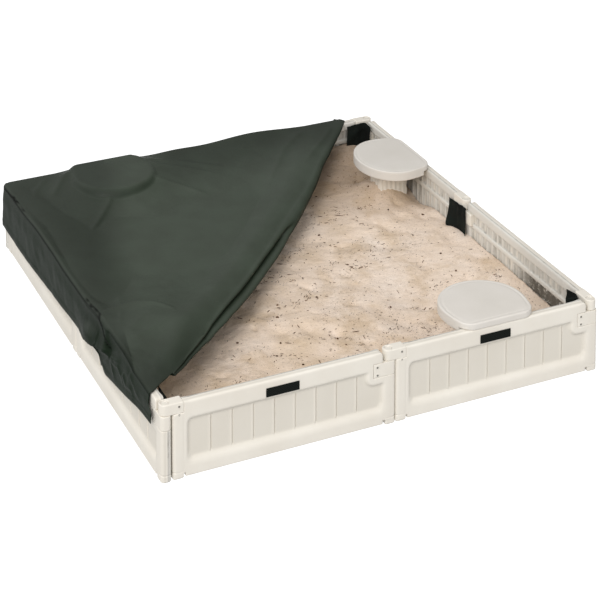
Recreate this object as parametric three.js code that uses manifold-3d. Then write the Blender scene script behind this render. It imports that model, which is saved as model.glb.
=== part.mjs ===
// Square sandbox: eight plastic wall panels pinned in a ring, four clip-on seats, a fabric
// ground liner, a fill of sand and a half-open fabric cover.
// Millimetres, +Z up. The origin is the centre of the box on the ground and -Y is its front.
//
// Every panel is built in its own frame: X runs along the wall from the hinge pin at its left
// end (x = 0, seen from outside) to the pin at its right end (x = PITCH), Y = 0 is the plane of
// the pins, the outer face looks along -Y, and Z is the height above the ground.

import * as THREE from 'three';
import { mergeVertices } from 'three/addons/utils/BufferGeometryUtils.js';
import Module from 'manifold-3d';

const wasm = await Module();
wasm.setup();

// ---- driving dimensions ----

const PITCH = 585; // from one hinge pin to the next
const HEIGHT = 186; // ground to the top of the hinge knuckles
const RAIL_TOP = 185; // ground to the top of the panels
const GAP = 0.3; // clearance between neighbouring pieces

const OUTER = -14; // outer face of panels, posts and knuckles
const INNER = 8; // inner face of a panel
const POST_R = 14; // hinge post and knuckle end radius
const RAIL_FILLET = 5; // rounding along the top of a panel
const PANEL_BOTTOM = 3; // the panel's lower edge hangs this far above its feet

const END_POST_X0 = 15.5; // the plain post at a panel's left end
const END_POST_X1 = 42.5;
const END_POST_DEPTH = 14;
const END_POST_CORNER = 9;
const POST_LEAD = 4; // the panel's plate starts this far inside its end post
const FOOT_SLOT_W = 5; // slot between a foot and the panel's lower edge
const FOOT_SLOT_H = 12;

const UPPER_KNUCKLE_H = 27;
const UPPER_KNUCKLE_LENGTH = 43;
const LOWER_KNUCKLE_H = 34;
const LOWER_KNUCKLE_LENGTH = 46;
const RAIL_END = 25; // the rail stops this far short of the right-hand pin
const RAIL_END_R = 14;
const TONGUE_Y0 = -6; // tongues of the panel that the knuckles slide over
const TONGUE_Y1 = 1;
const TONGUE_LENGTH = 22;
const TONGUE_SLACK = 0.6; // room past a tongue's end
const UPPER_TONGUE_Z0 = 6; // above the upper knuckle's lower face
const UPPER_TONGUE_Z1 = 9; // below its top
const LOWER_TONGUE_Z = 7; // inside both faces of the lower knuckle

const RECESS_X0 = 50; // planked recess in the outer face
const RECESS_X1 = PITCH - 17;
const RECESS_Z0 = 30;
const RECESS_Z1 = 144;
const RECESS_DEPTH = 5;
const RECESS_R = 18;
const STEP_X = PITCH - 58; // the recess steps down beside the lower knuckle
const STEP_Z = 112;
const GROOVES = 8;
const GROOVE_PITCH = 54.7;
const GROOVE_X0 = 112;
const GROOVE_W = 6;
const GROOVE_DEPTH = 2;
const GROOVE_Z0 = 45;
const GROOVE_Z1 = 137;

const WALL = 3; // moulded wall thickness
const SOLID_END = 8; // the hollow stops this far inside the recess's ends
const SOLID_FOOT = 14; // how far the hollow reaches below the recess
const VENT_R = 4; // blow-moulding vent under each panel

const PIN_R = 5;
const BORE_R = 5.5;
const PIN_BOTTOM = 20;
const PIN_HEAD_R = 9;
const PIN_HEAD_H = 3;
const PIN_HEAD_RECESS = 3.8;
const PIN_ROUND = 12; // sides of the round parts of a pin and its bores

const PATCH_W = 87; // hook-and-loop patch on each rail
const PATCH_H = 22;
const PATCH_T = 1.4;
const PATCH_X = PITCH / 2 + 3;
const PATCH_Z = 157;

const SEAT_HALF_W = 116;
const SEAT_BASE_HALF_W = 96; // half the straight edge that lies on the rail
const SEAT_OUTER = -15;
const SEAT_WIDEST = 72;
const SEAT_DEPTH_END = 170;
const SEAT_TOP = 202;
const SEAT_SKIRT_BOTTOM = 172;
const SEAT_SKIRT_START = 11; // the skirt clears the rail's inner face
const SEAT_ROUND = 4;
const SEAT_CORNER = 16; // rounding of the outline's outer corners
const SEAT_FLARE = 6; // the outline's sides spread this much within the corner
// How far each wall's seat stands along the rail from the middle of its panel.
const SEAT_SLIDE = [18, 2, 0, 0];

const LEG_HALF_W = 33;
const LEG_Y0 = 20;
const LEG_Y1 = 96;
const LEG_BOTTOM = 4;
const LEG_RIB = 2;

const LINER_T = 2;
const LINER_Z0 = 0.8;
const LINER_EDGE = 570;
const TAB_X0 = -20; // each tab hangs across a joint, further to the right of the pin
const TAB_X1 = 82;
const TAB_TOP = 165;
const CORNER_TAB = 60;

const SAND_BOTTOM = 3.4;
const SAND_LEVEL = 84;
const SAND_WAVE = 5;
const SAND_STEPS = 8;

const COVER_T = 3;
const COVER_OUT = 605; // outer face of the hanging skirts
const COVER_REST = 188; // underside of the cover above the rails
const COVER_SAG = 12;
const COVER_OFFSET = 22; // the folded edge lies this far behind the box's diagonal
const COVER_FRONT = -538;
const COVER_END = 512;
const SKIRT_BOTTOM = 76;
const SKIRT_RISE = 54; // the skirts end this much higher at the folded corners
const SKIRT_TAPER = 290;
const COVER_ROWS = 18;
const COVER_COLUMNS = 10;
const SEAT_LIFT = 18; // the cover stands this much higher over a seat
const SEAT_PLATEAU = 1.3; // in seat sizes: the cover is fully lifted to here
const SEAT_SHOULDER = 1.8; // and back at its own height from here
const LIP_FROM = -525; // lip of the folded edge, by the X of its ends
const LIP_TO = 500;
const LIP_INNER = 26;
const LIP_OUT = 14;
const LIP_DROP = 34;

// ---- materials ----

function material(color, roughness) {
  return new THREE.MeshStandardMaterial({ color, roughness, metalness: 0 });
}

const PLASTIC = 0xe4dfd4;
const SEAT_PLASTIC = 0xd8d3cb;
const HOOK_BLACK = 0x161a18;
const COVER_GREEN = 0x434b41;
const LINER_BLACK = 0x1f2622;
const SAND = 0xd2c0ab;

// ---- solids ----

function toSolid(geometry) {
  const plain = geometry.clone();
  plain.deleteAttribute('normal');
  plain.deleteAttribute('uv');
  const merged = mergeVertices(plain, 1e-4);
  return new wasm.Manifold(new wasm.Mesh({
    numProp: 3,
    vertProperties: new Float32Array(merged.attributes.position.array),
    triVerts: new Uint32Array(merged.index.array),
  }));
}

function toGeometry(solid) {
  const mesh = solid.getMesh();
  const geometry = new THREE.BufferGeometry();
  geometry.setAttribute('position', new THREE.BufferAttribute(mesh.vertProperties, 3));
  geometry.setIndex(new THREE.BufferAttribute(mesh.triVerts, 1));
  return geometry;
}

function join(solids) {
  return solids.reduce((sum, solid) => sum.add(solid));
}

function cut(solid, tools) {
  return tools.reduce((rest, tool) => rest.subtract(tool), solid);
}

function box(x0, x1, y0, y1, z0, z1) {
  const geometry = new THREE.BoxGeometry(x1 - x0, y1 - y0, z1 - z0);
  geometry.translate((x0 + x1) / 2, (y0 + y1) / 2, (z0 + z1) / 2);
  return toSolid(geometry);
}

// A plan outline in X and Y, raised from z0 to z1.
function raise(shape, z0, z1, curveSegments = 12) {
  const depth = z1 - z0;
  const geometry = new THREE.ExtrudeGeometry(shape, { depth, bevelEnabled: false, curveSegments });
  geometry.translate(0, 0, z0);
  return toSolid(geometry);
}

// A front outline in X and Z, carried from y0 to y1.
function carry(shape, y0, y1, curveSegments = 6) {
  const depth = y1 - y0;
  const geometry = new THREE.ExtrudeGeometry(shape, { depth, bevelEnabled: false, curveSegments });
  geometry.rotateX(Math.PI / 2);
  geometry.translate(0, y1, 0);
  return toSolid(geometry);
}

// A section in Y and Z, carried from x0 to x1.
function sweep(section, x0, x1, curveSegments = 3) {
  const depth = x1 - x0;
  const geometry = new THREE.ExtrudeGeometry(section, { depth, bevelEnabled: false, curveSegments });
  geometry.rotateX(Math.PI / 2);
  geometry.rotateZ(Math.PI / 2);
  geometry.translate(x0, 0, 0);
  return toSolid(geometry);
}

function rod(radius, x, z0, z1, sides = PIN_ROUND) {
  const geometry = new THREE.CylinderGeometry(radius, radius, z1 - z0, sides);
  geometry.rotateX(Math.PI / 2);
  geometry.translate(x, 0, (z0 + z1) / 2);
  return toSolid(geometry);
}

function outline(points) {
  return new THREE.Shape(points.map(([x, y]) => new THREE.Vector2(x, y)));
}

function roundedRectangle(x0, x1, y0, y1, r) {
  const shape = new THREE.Shape();
  shape.moveTo(x0 + r, y0);
  shape.lineTo(x1 - r, y0);
  shape.absarc(x1 - r, y0 + r, r, -Math.PI / 2, 0, false);
  shape.lineTo(x1, y1 - r);
  shape.absarc(x1 - r, y1 - r, r, 0, Math.PI / 2, false);
  shape.lineTo(x0 + r, y1);
  shape.absarc(x0 + r, y1 - r, r, Math.PI / 2, Math.PI, false);
  shape.lineTo(x0, y0 + r);
  shape.absarc(x0 + r, y0 + r, r, Math.PI, Math.PI * 1.5, false);
  return shape;
}

// ---- wall panel ----

const UPPER_Z = HEIGHT - UPPER_KNUCKLE_H;
const LOWER_Z1 = UPPER_Z - GAP;
const LOWER_Z0 = LOWER_Z1 - LOWER_KNUCKLE_H;
const LOWER_X0 = PITCH - LOWER_KNUCKLE_LENGTH;

// The panel seen from outside, without its round post: feet, foot slots and knuckle notches.
function panelElevation() {
  const leftNotch = UPPER_KNUCKLE_LENGTH + GAP;
  const rightSlot = PITCH - POST_R - FOOT_SLOT_W;
  const shape = new THREE.Shape();
  shape.moveTo(END_POST_X0 + POST_LEAD, 0);
  shape.lineTo(END_POST_X1, 0);
  shape.lineTo(END_POST_X1, FOOT_SLOT_H);
  shape.lineTo(END_POST_X1 + FOOT_SLOT_W, FOOT_SLOT_H);
  shape.lineTo(END_POST_X1 + FOOT_SLOT_W, PANEL_BOTTOM);
  shape.lineTo(rightSlot, PANEL_BOTTOM);
  shape.lineTo(rightSlot, FOOT_SLOT_H);
  shape.lineTo(PITCH, FOOT_SLOT_H);
  shape.lineTo(PITCH, LOWER_Z0 - GAP);
  shape.lineTo(LOWER_X0 - GAP, LOWER_Z0 - GAP);
  shape.lineTo(LOWER_X0 - GAP, LOWER_Z1 + GAP);
  shape.lineTo(PITCH - RAIL_END, LOWER_Z1 + GAP);
  shape.lineTo(PITCH - RAIL_END, RAIL_TOP - RAIL_END_R);
  shape.absarc(PITCH - RAIL_END - RAIL_END_R, RAIL_TOP - RAIL_END_R, RAIL_END_R, 0, Math.PI / 2, false);
  shape.lineTo(leftNotch, RAIL_TOP);
  shape.lineTo(leftNotch, UPPER_Z - GAP);
  shape.lineTo(END_POST_X0 + POST_LEAD, UPPER_Z - GAP);
  return shape;
}

// A bar along the whole wall whose top edges are rounded.
function railBar() {
  const r = RAIL_FILLET;
  const section = new THREE.Shape();
  section.moveTo(OUTER, -1);
  section.lineTo(INNER, -1);
  section.lineTo(INNER, RAIL_TOP - r);
  section.absarc(INNER - r, RAIL_TOP - r, r, 0, Math.PI / 2, false);
  section.lineTo(OUTER + r, RAIL_TOP);
  section.absarc(OUTER + r, RAIL_TOP - r, r, Math.PI / 2, Math.PI, false);
  return sweep(section, 0, PITCH);
}

function recessOutline() {
  const r = RECESS_R;
  const shape = new THREE.Shape();
  shape.moveTo(RECESS_X0 + r, RECESS_Z0);
  shape.lineTo(RECESS_X1 - r, RECESS_Z0);
  shape.absarc(RECESS_X1 - r, RECESS_Z0 + r, r, -Math.PI / 2, 0, false);
  shape.lineTo(RECESS_X1, STEP_Z);
  shape.lineTo(STEP_X + r, STEP_Z);
  shape.absarc(STEP_X + r, STEP_Z + r, r, -Math.PI / 2, -Math.PI, true);
  shape.lineTo(STEP_X, RECESS_Z1 - r / 2);
  shape.absarc(STEP_X - r / 2, RECESS_Z1 - r / 2, r / 2, 0, Math.PI / 2, false);
  shape.lineTo(RECESS_X0 + r, RECESS_Z1);
  shape.absarc(RECESS_X0 + r, RECESS_Z1 - r, r, Math.PI / 2, Math.PI, false);
  return shape;
}

// The recess has sloping borders, so its cutter is a plug that narrows inwards.
function recessCutter() {
  const geometry = new THREE.ExtrudeGeometry(recessOutline(), {
    depth: RECESS_DEPTH,
    bevelEnabled: true,
    bevelThickness: RECESS_DEPTH,
    bevelSize: RECESS_DEPTH,
    bevelOffset: -RECESS_DEPTH,
    bevelSegments: 1,
    curveSegments: 4,
  });
  geometry.rotateX(Math.PI / 2);
  geometry.translate(0, OUTER, 0);
  return toSolid(geometry);
}

function grooveCutter(index) {
  const x = GROOVE_X0 + index * GROOVE_PITCH;
  const floor = OUTER + RECESS_DEPTH;
  const wedge = outline([
    [x - GROOVE_W / 2, floor - GAP],
    [x + GROOVE_W / 2, floor - GAP],
    [x, floor + GROOVE_DEPTH],
  ]);
  return raise(wedge, GROOVE_Z0, GROOVE_Z1);
}

// The moulding is hollow: one space behind the planks, one in the rail and a vent to below.
function mouldingHollow() {
  const x0 = RECESS_X0 + SOLID_END;
  const x1 = PITCH - RECESS_X0 - SOLID_END;
  const behindPlanks = OUTER + RECESS_DEPTH + GROOVE_DEPTH + WALL - 1;
  const inside = INNER - WALL;
  const top = RAIL_TOP - RAIL_FILLET;
  return join([
    box(x0, x1, behindPlanks, inside, RECESS_Z0 - SOLID_FOOT, top),
    box(x0, x1, OUTER + WALL, inside, RECESS_Z1 + RAIL_FILLET, top),
    rod(VENT_R, (x0 + x1) / 2, 0, RECESS_Z0, 10),
  ]);
}

function tongues() {
  const left = UPPER_KNUCKLE_LENGTH + 1;
  const right = LOWER_X0 - 1;
  return [
    box(
      left - TONGUE_LENGTH, left, TONGUE_Y0, TONGUE_Y1,
      UPPER_Z + UPPER_TONGUE_Z0, HEIGHT - UPPER_TONGUE_Z1,
    ),
    box(
      right, right + TONGUE_LENGTH, TONGUE_Y0, TONGUE_Y1,
      LOWER_Z0 + LOWER_TONGUE_Z, LOWER_Z1 - LOWER_TONGUE_Z,
    ),
  ];
}

function panelSolid() {
  const plate = carry(panelElevation(), OUTER, INNER).intersect(railBar());
  const endPost = raise(
    roundedRectangle(END_POST_X0, END_POST_X1, -END_POST_DEPTH, END_POST_DEPTH, END_POST_CORNER),
    0, UPPER_Z - GAP, 3,
  );
  const hingePost = rod(POST_R, PITCH, 0, LOWER_Z0 - GAP, 16);
  const whole = join([plate, endPost, hingePost, ...tongues()]);
  const grooves = Array.from({ length: GROOVES }, (_, index) => grooveCutter(index));
  const bore = rod(BORE_R, PITCH, PIN_BOTTOM - 4, HEIGHT);
  return cut(whole, [recessCutter(), ...grooves, mouldingHollow(), bore]);
}

// ---- hinge knuckles and pins ----

// Knuckle outline in plan: half round about the pin, square at the far end.
function knuckleOutline(length) {
  const shape = new THREE.Shape();
  shape.moveTo(0, -POST_R);
  shape.lineTo(length, -POST_R);
  shape.lineTo(length, POST_R);
  shape.lineTo(0, POST_R);
  shape.absarc(0, 0, POST_R, Math.PI / 2, Math.PI * 1.5, false);
  return shape;
}

function upperKnuckleSolid() {
  const block = raise(knuckleOutline(UPPER_KNUCKLE_LENGTH), UPPER_Z, HEIGHT, 7);
  const slot = box(
    UPPER_KNUCKLE_LENGTH - TONGUE_LENGTH + TONGUE_SLACK, UPPER_KNUCKLE_LENGTH + 1,
    TONGUE_Y0 - GAP, TONGUE_Y1 + GAP,
    UPPER_Z + UPPER_TONGUE_Z0 - GAP, HEIGHT - UPPER_TONGUE_Z1 + GAP,
  );
  const bore = rod(BORE_R, 0, UPPER_Z - 1, HEIGHT);
  const headRecess = rod(PIN_HEAD_R + 0.5, 0, HEIGHT - PIN_HEAD_RECESS, HEIGHT + 1);
  return cut(block, [slot, bore, headRecess]);
}

function lowerKnuckleSolid() {
  const mirrored = toGeometry(raise(knuckleOutline(LOWER_KNUCKLE_LENGTH), LOWER_Z0, LOWER_Z1, 7));
  mirrored.rotateZ(Math.PI);
  mirrored.translate(PITCH, 0, 0);
  const slot = box(
    LOWER_X0 - 1, LOWER_X0 + TONGUE_LENGTH - TONGUE_SLACK,
    TONGUE_Y0 - GAP, TONGUE_Y1 + GAP,
    LOWER_Z0 + LOWER_TONGUE_Z - GAP, LOWER_Z1 - LOWER_TONGUE_Z + GAP,
  );
  return cut(toSolid(mirrored), [slot, rod(BORE_R, PITCH, LOWER_Z0 - 1, LOWER_Z1 + 1)]);
}

function pinGeometry() {
  const headBottom = HEIGHT - PIN_HEAD_RECESS + GAP;
  const profile = [
    [0, PIN_BOTTOM],
    [PIN_R - 1.5, PIN_BOTTOM],
    [PIN_R, PIN_BOTTOM + 1.5],
    [PIN_R, headBottom],
    [PIN_HEAD_R, headBottom],
    [PIN_HEAD_R, headBottom + PIN_HEAD_H - 0.8],
    [PIN_HEAD_R - 0.8, headBottom + PIN_HEAD_H],
    [0, headBottom + PIN_HEAD_H],
  ];
  const geometry = new THREE.LatheGeometry(profile.map(([r, z]) => new THREE.Vector2(r, z)), PIN_ROUND);
  geometry.rotateX(Math.PI / 2);
  return toGeometry(toSolid(geometry));
}

function patchGeometry() {
  const y1 = OUTER - GAP;
  return toGeometry(box(
    PATCH_X - PATCH_W / 2, PATCH_X + PATCH_W / 2, y1 - PATCH_T, y1,
    PATCH_Z - PATCH_H / 2, PATCH_Z + PATCH_H / 2,
  ));
}

// ---- seat ----

// D-shaped seat outline about the panel's middle, shrunk by inset on every side.
function seatOutline(inset) {
  const y0 = SEAT_OUTER + inset;
  const half = SEAT_HALF_W - inset;
  const baseHalf = SEAT_BASE_HALF_W - inset;
  const shape = new THREE.Shape();
  shape.moveTo(-baseHalf + SEAT_CORNER, y0);
  shape.lineTo(baseHalf - SEAT_CORNER, y0);
  shape.quadraticCurveTo(baseHalf, y0, baseHalf + SEAT_FLARE, y0 + SEAT_CORNER);
  shape.quadraticCurveTo(half, SEAT_WIDEST / 2, half, SEAT_WIDEST);
  shape.absellipse(0, SEAT_WIDEST, half, SEAT_DEPTH_END - inset - SEAT_WIDEST, 0, Math.PI, false, 0);
  shape.quadraticCurveTo(-half, SEAT_WIDEST / 2, -baseHalf - SEAT_FLARE, y0 + SEAT_CORNER);
  shape.quadraticCurveTo(-baseHalf, y0, -baseHalf + SEAT_CORNER, y0);
  return shape;
}

function seatSolid() {
  const geometry = new THREE.ExtrudeGeometry(seatOutline(SEAT_ROUND), {
    depth: SEAT_TOP - SEAT_SKIRT_BOTTOM - 2 * SEAT_ROUND,
    bevelEnabled: true,
    bevelThickness: SEAT_ROUND,
    bevelSize: SEAT_ROUND,
    bevelSegments: 2,
    curveSegments: 6,
  });
  geometry.translate(0, 0, SEAT_SKIRT_BOTTOM + SEAT_ROUND);
  const wide = 2 * SEAT_HALF_W;
  const railNotch = box(-wide, wide, -wide, SEAT_SKIRT_START, 0, RAIL_TOP + GAP);
  const under = raise(seatOutline(SEAT_ROUND + WALL), SEAT_SKIRT_BOTTOM - 1, SEAT_TOP - 2 * WALL, 5);
  const lip = box(-wide, wide, -wide, SEAT_SKIRT_START + WALL, 0, HEIGHT * 2);
  return cut(toSolid(geometry), [railNotch, under.subtract(lip)]);
}

// The leg is a ribbed channel, open towards the wall, that stands on the liner.
function legSolid() {
  const top = SEAT_TOP - 2 * WALL - GAP;
  const channel = cut(box(-LEG_HALF_W, LEG_HALF_W, LEG_Y0, LEG_Y1, LEG_BOTTOM, top), [
    box(-LEG_HALF_W + WALL, LEG_HALF_W - WALL, LEG_Y0 - 1, LEG_Y1 - WALL, LEG_BOTTOM - 1, top - WALL),
  ]);
  const ribs = [-1, 0, 1].map((side) => box(
    (side * LEG_HALF_W - WALL) / 2, (side * LEG_HALF_W + WALL) / 2,
    LEG_Y1 - 1, LEG_Y1 + LEG_RIB, LEG_BOTTOM, SEAT_SKIRT_BOTTOM - LEG_BOTTOM,
  ));
  return join([channel, ...ribs]);
}

// ---- ground liner and sand ----

function quarterTurns(build) {
  const copies = [];
  for (let turn = 0; turn < 4; turn += 1) {
    const geometry = toGeometry(build(turn));
    geometry.rotateZ(turn * Math.PI / 2);
    copies.push(toSolid(geometry));
  }
  return copies;
}

// Tabs of one side, drawn on the front wall: one at the wall's middle and one at its left corner.
function linerTabs() {
  const inner = -LINER_EDGE;
  const middle = box(TAB_X0, TAB_X1, inner, inner + LINER_T, LINER_Z0, TAB_TOP);
  const along = box(-LINER_EDGE, -LINER_EDGE + CORNER_TAB, inner, inner + LINER_T, LINER_Z0, TAB_TOP);
  const across = box(-LINER_EDGE, -LINER_EDGE + LINER_T, inner, inner + CORNER_TAB, LINER_Z0, TAB_TOP);
  return join([middle, along, across]);
}

function linerSolid() {
  const sheet = box(-LINER_EDGE, LINER_EDGE, -LINER_EDGE, LINER_EDGE, LINER_Z0, LINER_Z0 + LINER_T);
  return join([sheet, ...quarterTurns(linerTabs)]);
}

function sandHeight(x, y) {
  const u = x / PITCH;
  const v = y / PITCH;
  return SAND_LEVEL + SAND_WAVE * Math.sin(2.6 * u + 0.8) * Math.cos(2.3 * v - 0.5);
}

// A closed block whose top follows height(x, y) and whose floor follows floor(x, y).
// place(i, j) gives the plan position of grid point i along and j across.
function block(columns, rows, place, height, floor) {
  const positions = [];
  const index = [];
  const stride = columns + 1;
  const layer = stride * (rows + 1);
  for (const level of [height, floor]) {
    for (let j = 0; j <= rows; j += 1) {
      for (let i = 0; i <= columns; i += 1) {
        const [x, y] = place(i / columns, j / rows);
        positions.push(x, y, level(x, y));
      }
    }
  }
  const quad = (a, b, c, d) => index.push(a, b, c, a, c, d);
  for (let j = 0; j < rows; j += 1) {
    for (let i = 0; i < columns; i += 1) {
      const a = j * stride + i;
      quad(a, a + 1, a + stride + 1, a + stride);
      quad(layer + a, layer + a + stride, layer + a + stride + 1, layer + a + 1);
    }
  }
  for (let i = 0; i < columns; i += 1) {
    const far = rows * stride + i;
    quad(layer + i, layer + i + 1, i + 1, i);
    quad(far, far + 1, layer + far + 1, layer + far);
  }
  for (let j = 0; j < rows; j += 1) {
    const near = j * stride;
    const far = near + columns;
    quad(near, near + stride, layer + near + stride, layer + near);
    quad(layer + far, layer + far + stride, far + stride, far);
  }
  const geometry = new THREE.BufferGeometry();
  geometry.setAttribute('position', new THREE.BufferAttribute(new Float32Array(positions), 3));
  geometry.setIndex(index);
  return toSolid(geometry);
}

// Room that one side's posts, liner tabs and seat leg take out of the sand.
function sandPockets(turn) {
  const clear = 2 * GAP;
  const edge = -LINER_EDGE + LINER_T + clear;
  const high = HEIGHT;
  const far = -2 * PITCH;
  const seatX = PITCH / 2 + SEAT_SLIDE[turn];
  return join([
    box(-POST_R - LOWER_KNUCKLE_LENGTH, TAB_X1 + clear, far, edge, -1, high),
    box(-PITCH - 1, -LINER_EDGE + CORNER_TAB + clear, far, edge, -1, high),
    box(far, edge, -PITCH - 1, -LINER_EDGE + CORNER_TAB + clear, -1, high),
    box(
      seatX - LEG_HALF_W - clear, seatX + LEG_HALF_W + clear,
      -PITCH + LEG_Y0 - clear, -PITCH + LEG_Y1 + LEG_RIB + clear, -1, high,
    ),
  ]);
}

function sandSolid() {
  const half = PITCH - INNER - 2 * GAP;
  const place = (i, j) => [(2 * i - 1) * half, (2 * j - 1) * half];
  const fill = block(SAND_STEPS, SAND_STEPS, place, sandHeight, () => SAND_BOTTOM);
  return cut(fill, quarterTurns(sandPockets));
}

// ---- cover ----

// How far a plan point lies under the seat on the back wall, 1 inside and 0 well outside it.
function seatInfluence(along, inwards) {
  const u = Math.abs(along) / SEAT_HALF_W;
  const v = Math.max(0, inwards - SEAT_WIDEST) / (SEAT_DEPTH_END - SEAT_WIDEST);
  return 1 - THREE.MathUtils.smoothstep(Math.hypot(u, v), SEAT_PLATEAU, SEAT_SHOULDER);
}

function coverUnderside(x, y) {
  const fromLeft = x + PITCH;
  const fromBack = PITCH - y;
  const seats = Math.max(
    seatInfluence(x + PITCH / 2, fromBack),
    seatInfluence(y + PITCH / 2, fromLeft),
  );
  const span = THREE.MathUtils.smoothstep(Math.min(fromLeft, fromBack), POST_R + 6, PITCH * 0.6);
  return COVER_REST + SEAT_LIFT * seats - COVER_SAG * span * (1 - seats);
}

function coverTop() {
  const place = (i, j) => {
    const y = THREE.MathUtils.lerp(COVER_FRONT, COVER_OUT, j);
    const right = Math.min(y - COVER_OFFSET, COVER_END);
    return [THREE.MathUtils.lerp(-COVER_OUT, right, i), y];
  };
  const height = (x, y) => coverUnderside(x, y) + COVER_T;
  return block(COVER_COLUMNS, COVER_ROWS, place, height, coverUnderside);
}

// The cover is folded under itself along the diagonal: a lip hangs below the folded edge.
function coverLip() {
  const place = (i, j) => {
    const along = THREE.MathUtils.lerp(LIP_FROM, LIP_TO, j);
    const out = THREE.MathUtils.lerp(-LIP_INNER, LIP_OUT, i) * Math.SQRT1_2;
    return [along + out, along + COVER_OFFSET - out];
  };
  const drop = (x, y) => {
    const middle = Math.sin((Math.PI * (x - LIP_FROM)) / (LIP_TO - LIP_FROM));
    const out = (x - y + COVER_OFFSET) * Math.SQRT1_2;
    return LIP_DROP * Math.max(0, middle) * THREE.MathUtils.smoothstep(out, -LIP_INNER, LIP_OUT);
  };
  const height = (x, y) => coverUnderside(x, y) + 1 - drop(x, y);
  return block(6, COVER_ROWS, place, height, (x, y) => height(x, y) - COVER_T);
}

// Lower edge of a hanging skirt, at a distance from the end where the cover is folded.
function skirtFloor(fromEnd) {
  return SKIRT_BOTTOM + SKIRT_RISE * (1 - THREE.MathUtils.smoothstep(fromEnd, 0, SKIRT_TAPER));
}

function coverSkirts() {
  const height = (x, y) => coverUnderside(x, y) + COVER_T;
  const leftPlace = (i, j) => [
    -COVER_OUT + COVER_T * i,
    THREE.MathUtils.lerp(COVER_FRONT, COVER_OUT, j),
  ];
  const backPlace = (i, j) => [
    THREE.MathUtils.lerp(-COVER_OUT, COVER_END, i),
    COVER_OUT - COVER_T * (1 - j),
  ];
  return [
    block(1, COVER_ROWS, leftPlace, height, (x, y) => skirtFloor(y - COVER_FRONT)),
    block(COVER_ROWS, 1, backPlace, height, (x) => skirtFloor(COVER_END - x)),
  ];
}

function coverSolid() {
  return join([coverTop(), coverLip(), ...coverSkirts()]);
}

// ---- assembly ----

function mesh(name, geometry, color, roughness) {
  const piece = new THREE.Mesh(geometry, material(color, roughness));
  piece.name = name;
  return piece;
}

const panelGeometry = toGeometry(panelSolid());
const upperKnuckleGeometry = toGeometry(upperKnuckleSolid());
const lowerKnuckleGeometry = toGeometry(lowerKnuckleSolid());
const hingePinGeometry = pinGeometry();
const hookPatchGeometry = patchGeometry();
const seatGeometry = toGeometry(seatSolid());
const legGeometry = toGeometry(legSolid());

// One panel with its knuckles, its hook patch and the pin at its left end.
function panelGroup(place, pinPlace) {
  const group = new THREE.Group();
  group.add(
    mesh(`panel_${place}`, panelGeometry, PLASTIC, 0.55),
    mesh(`upper_knuckle_${place}`, upperKnuckleGeometry, PLASTIC, 0.5),
    mesh(`lower_knuckle_${place}`, lowerKnuckleGeometry, PLASTIC, 0.5),
    mesh(`hook_patch_${place}`, hookPatchGeometry, HOOK_BLACK, 0.95),
    mesh(`hinge_pin_${pinPlace}`, hingePinGeometry, PLASTIC, 0.45),
  );
  return group;
}

function seatGroup(place) {
  const group = new THREE.Group();
  group.add(
    mesh(`seat_${place}`, seatGeometry, SEAT_PLASTIC, 0.5),
    mesh(`seat_leg_${place}`, legGeometry, PLASTIC, 0.6),
  );
  return group;
}

// The walls in turn, each with its left and right panel as seen from outside.
const WALLS = [
  { left: 'front_left', right: 'front_right', corner: 'front_left_corner', middle: 'front_middle' },
  { left: 'right_front', right: 'right_back', corner: 'front_right_corner', middle: 'right_middle' },
  { left: 'back_right', right: 'back_left', corner: 'back_right_corner', middle: 'back_middle' },
  { left: 'left_back', right: 'left_front', corner: 'back_left_corner', middle: 'left_middle' },
];

function wallGroup(wall, turn) {
  const group = new THREE.Group();
  const leftPanel = panelGroup(wall.left, wall.corner);
  const rightPanel = panelGroup(wall.right, wall.middle);
  const seat = seatGroup(wall.right);
  leftPanel.position.set(-PITCH, -PITCH, 0);
  rightPanel.position.set(0, -PITCH, 0);
  seat.position.set(PITCH / 2 + SEAT_SLIDE[turn], -PITCH, 0);
  group.add(leftPanel, rightPanel, seat);
  group.rotation.z = (turn * Math.PI) / 2;
  return group;
}

const sandbox = new THREE.Group();
WALLS.forEach((wall, turn) => sandbox.add(wallGroup(wall, turn)));
sandbox.add(
  mesh('ground_liner', toGeometry(linerSolid()), LINER_BLACK, 0.95),
  mesh('sand_fill', toGeometry(sandSolid()), SAND, 1),
  mesh('cover', toGeometry(coverSolid()), COVER_GREEN, 0.85),
);

export default sandbox;
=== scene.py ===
import math
import random

import bpy
import numpy as np
from mathutils import Matrix, Vector


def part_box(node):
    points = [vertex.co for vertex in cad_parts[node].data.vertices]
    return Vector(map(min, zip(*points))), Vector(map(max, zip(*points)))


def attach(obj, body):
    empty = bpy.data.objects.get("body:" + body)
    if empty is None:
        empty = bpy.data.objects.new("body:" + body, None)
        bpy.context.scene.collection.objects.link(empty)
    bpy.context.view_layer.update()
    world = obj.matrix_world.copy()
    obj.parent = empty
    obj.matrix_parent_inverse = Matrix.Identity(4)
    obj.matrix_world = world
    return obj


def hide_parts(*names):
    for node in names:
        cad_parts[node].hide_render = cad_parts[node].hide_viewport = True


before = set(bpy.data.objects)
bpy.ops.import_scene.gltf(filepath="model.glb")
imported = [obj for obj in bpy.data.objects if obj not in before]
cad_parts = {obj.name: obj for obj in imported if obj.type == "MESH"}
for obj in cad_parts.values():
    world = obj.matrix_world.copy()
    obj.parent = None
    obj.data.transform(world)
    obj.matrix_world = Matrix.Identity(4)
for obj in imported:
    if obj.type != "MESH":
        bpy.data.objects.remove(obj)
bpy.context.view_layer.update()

MM = 0.001
random.seed(7)

# ---- Sizes, in millimetres. The main ones come from the frame, the rest are moulding details.

def box_mm(node):
    low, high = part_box(node)
    return [v / MM for v in low], [v / MM for v in high]


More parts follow.
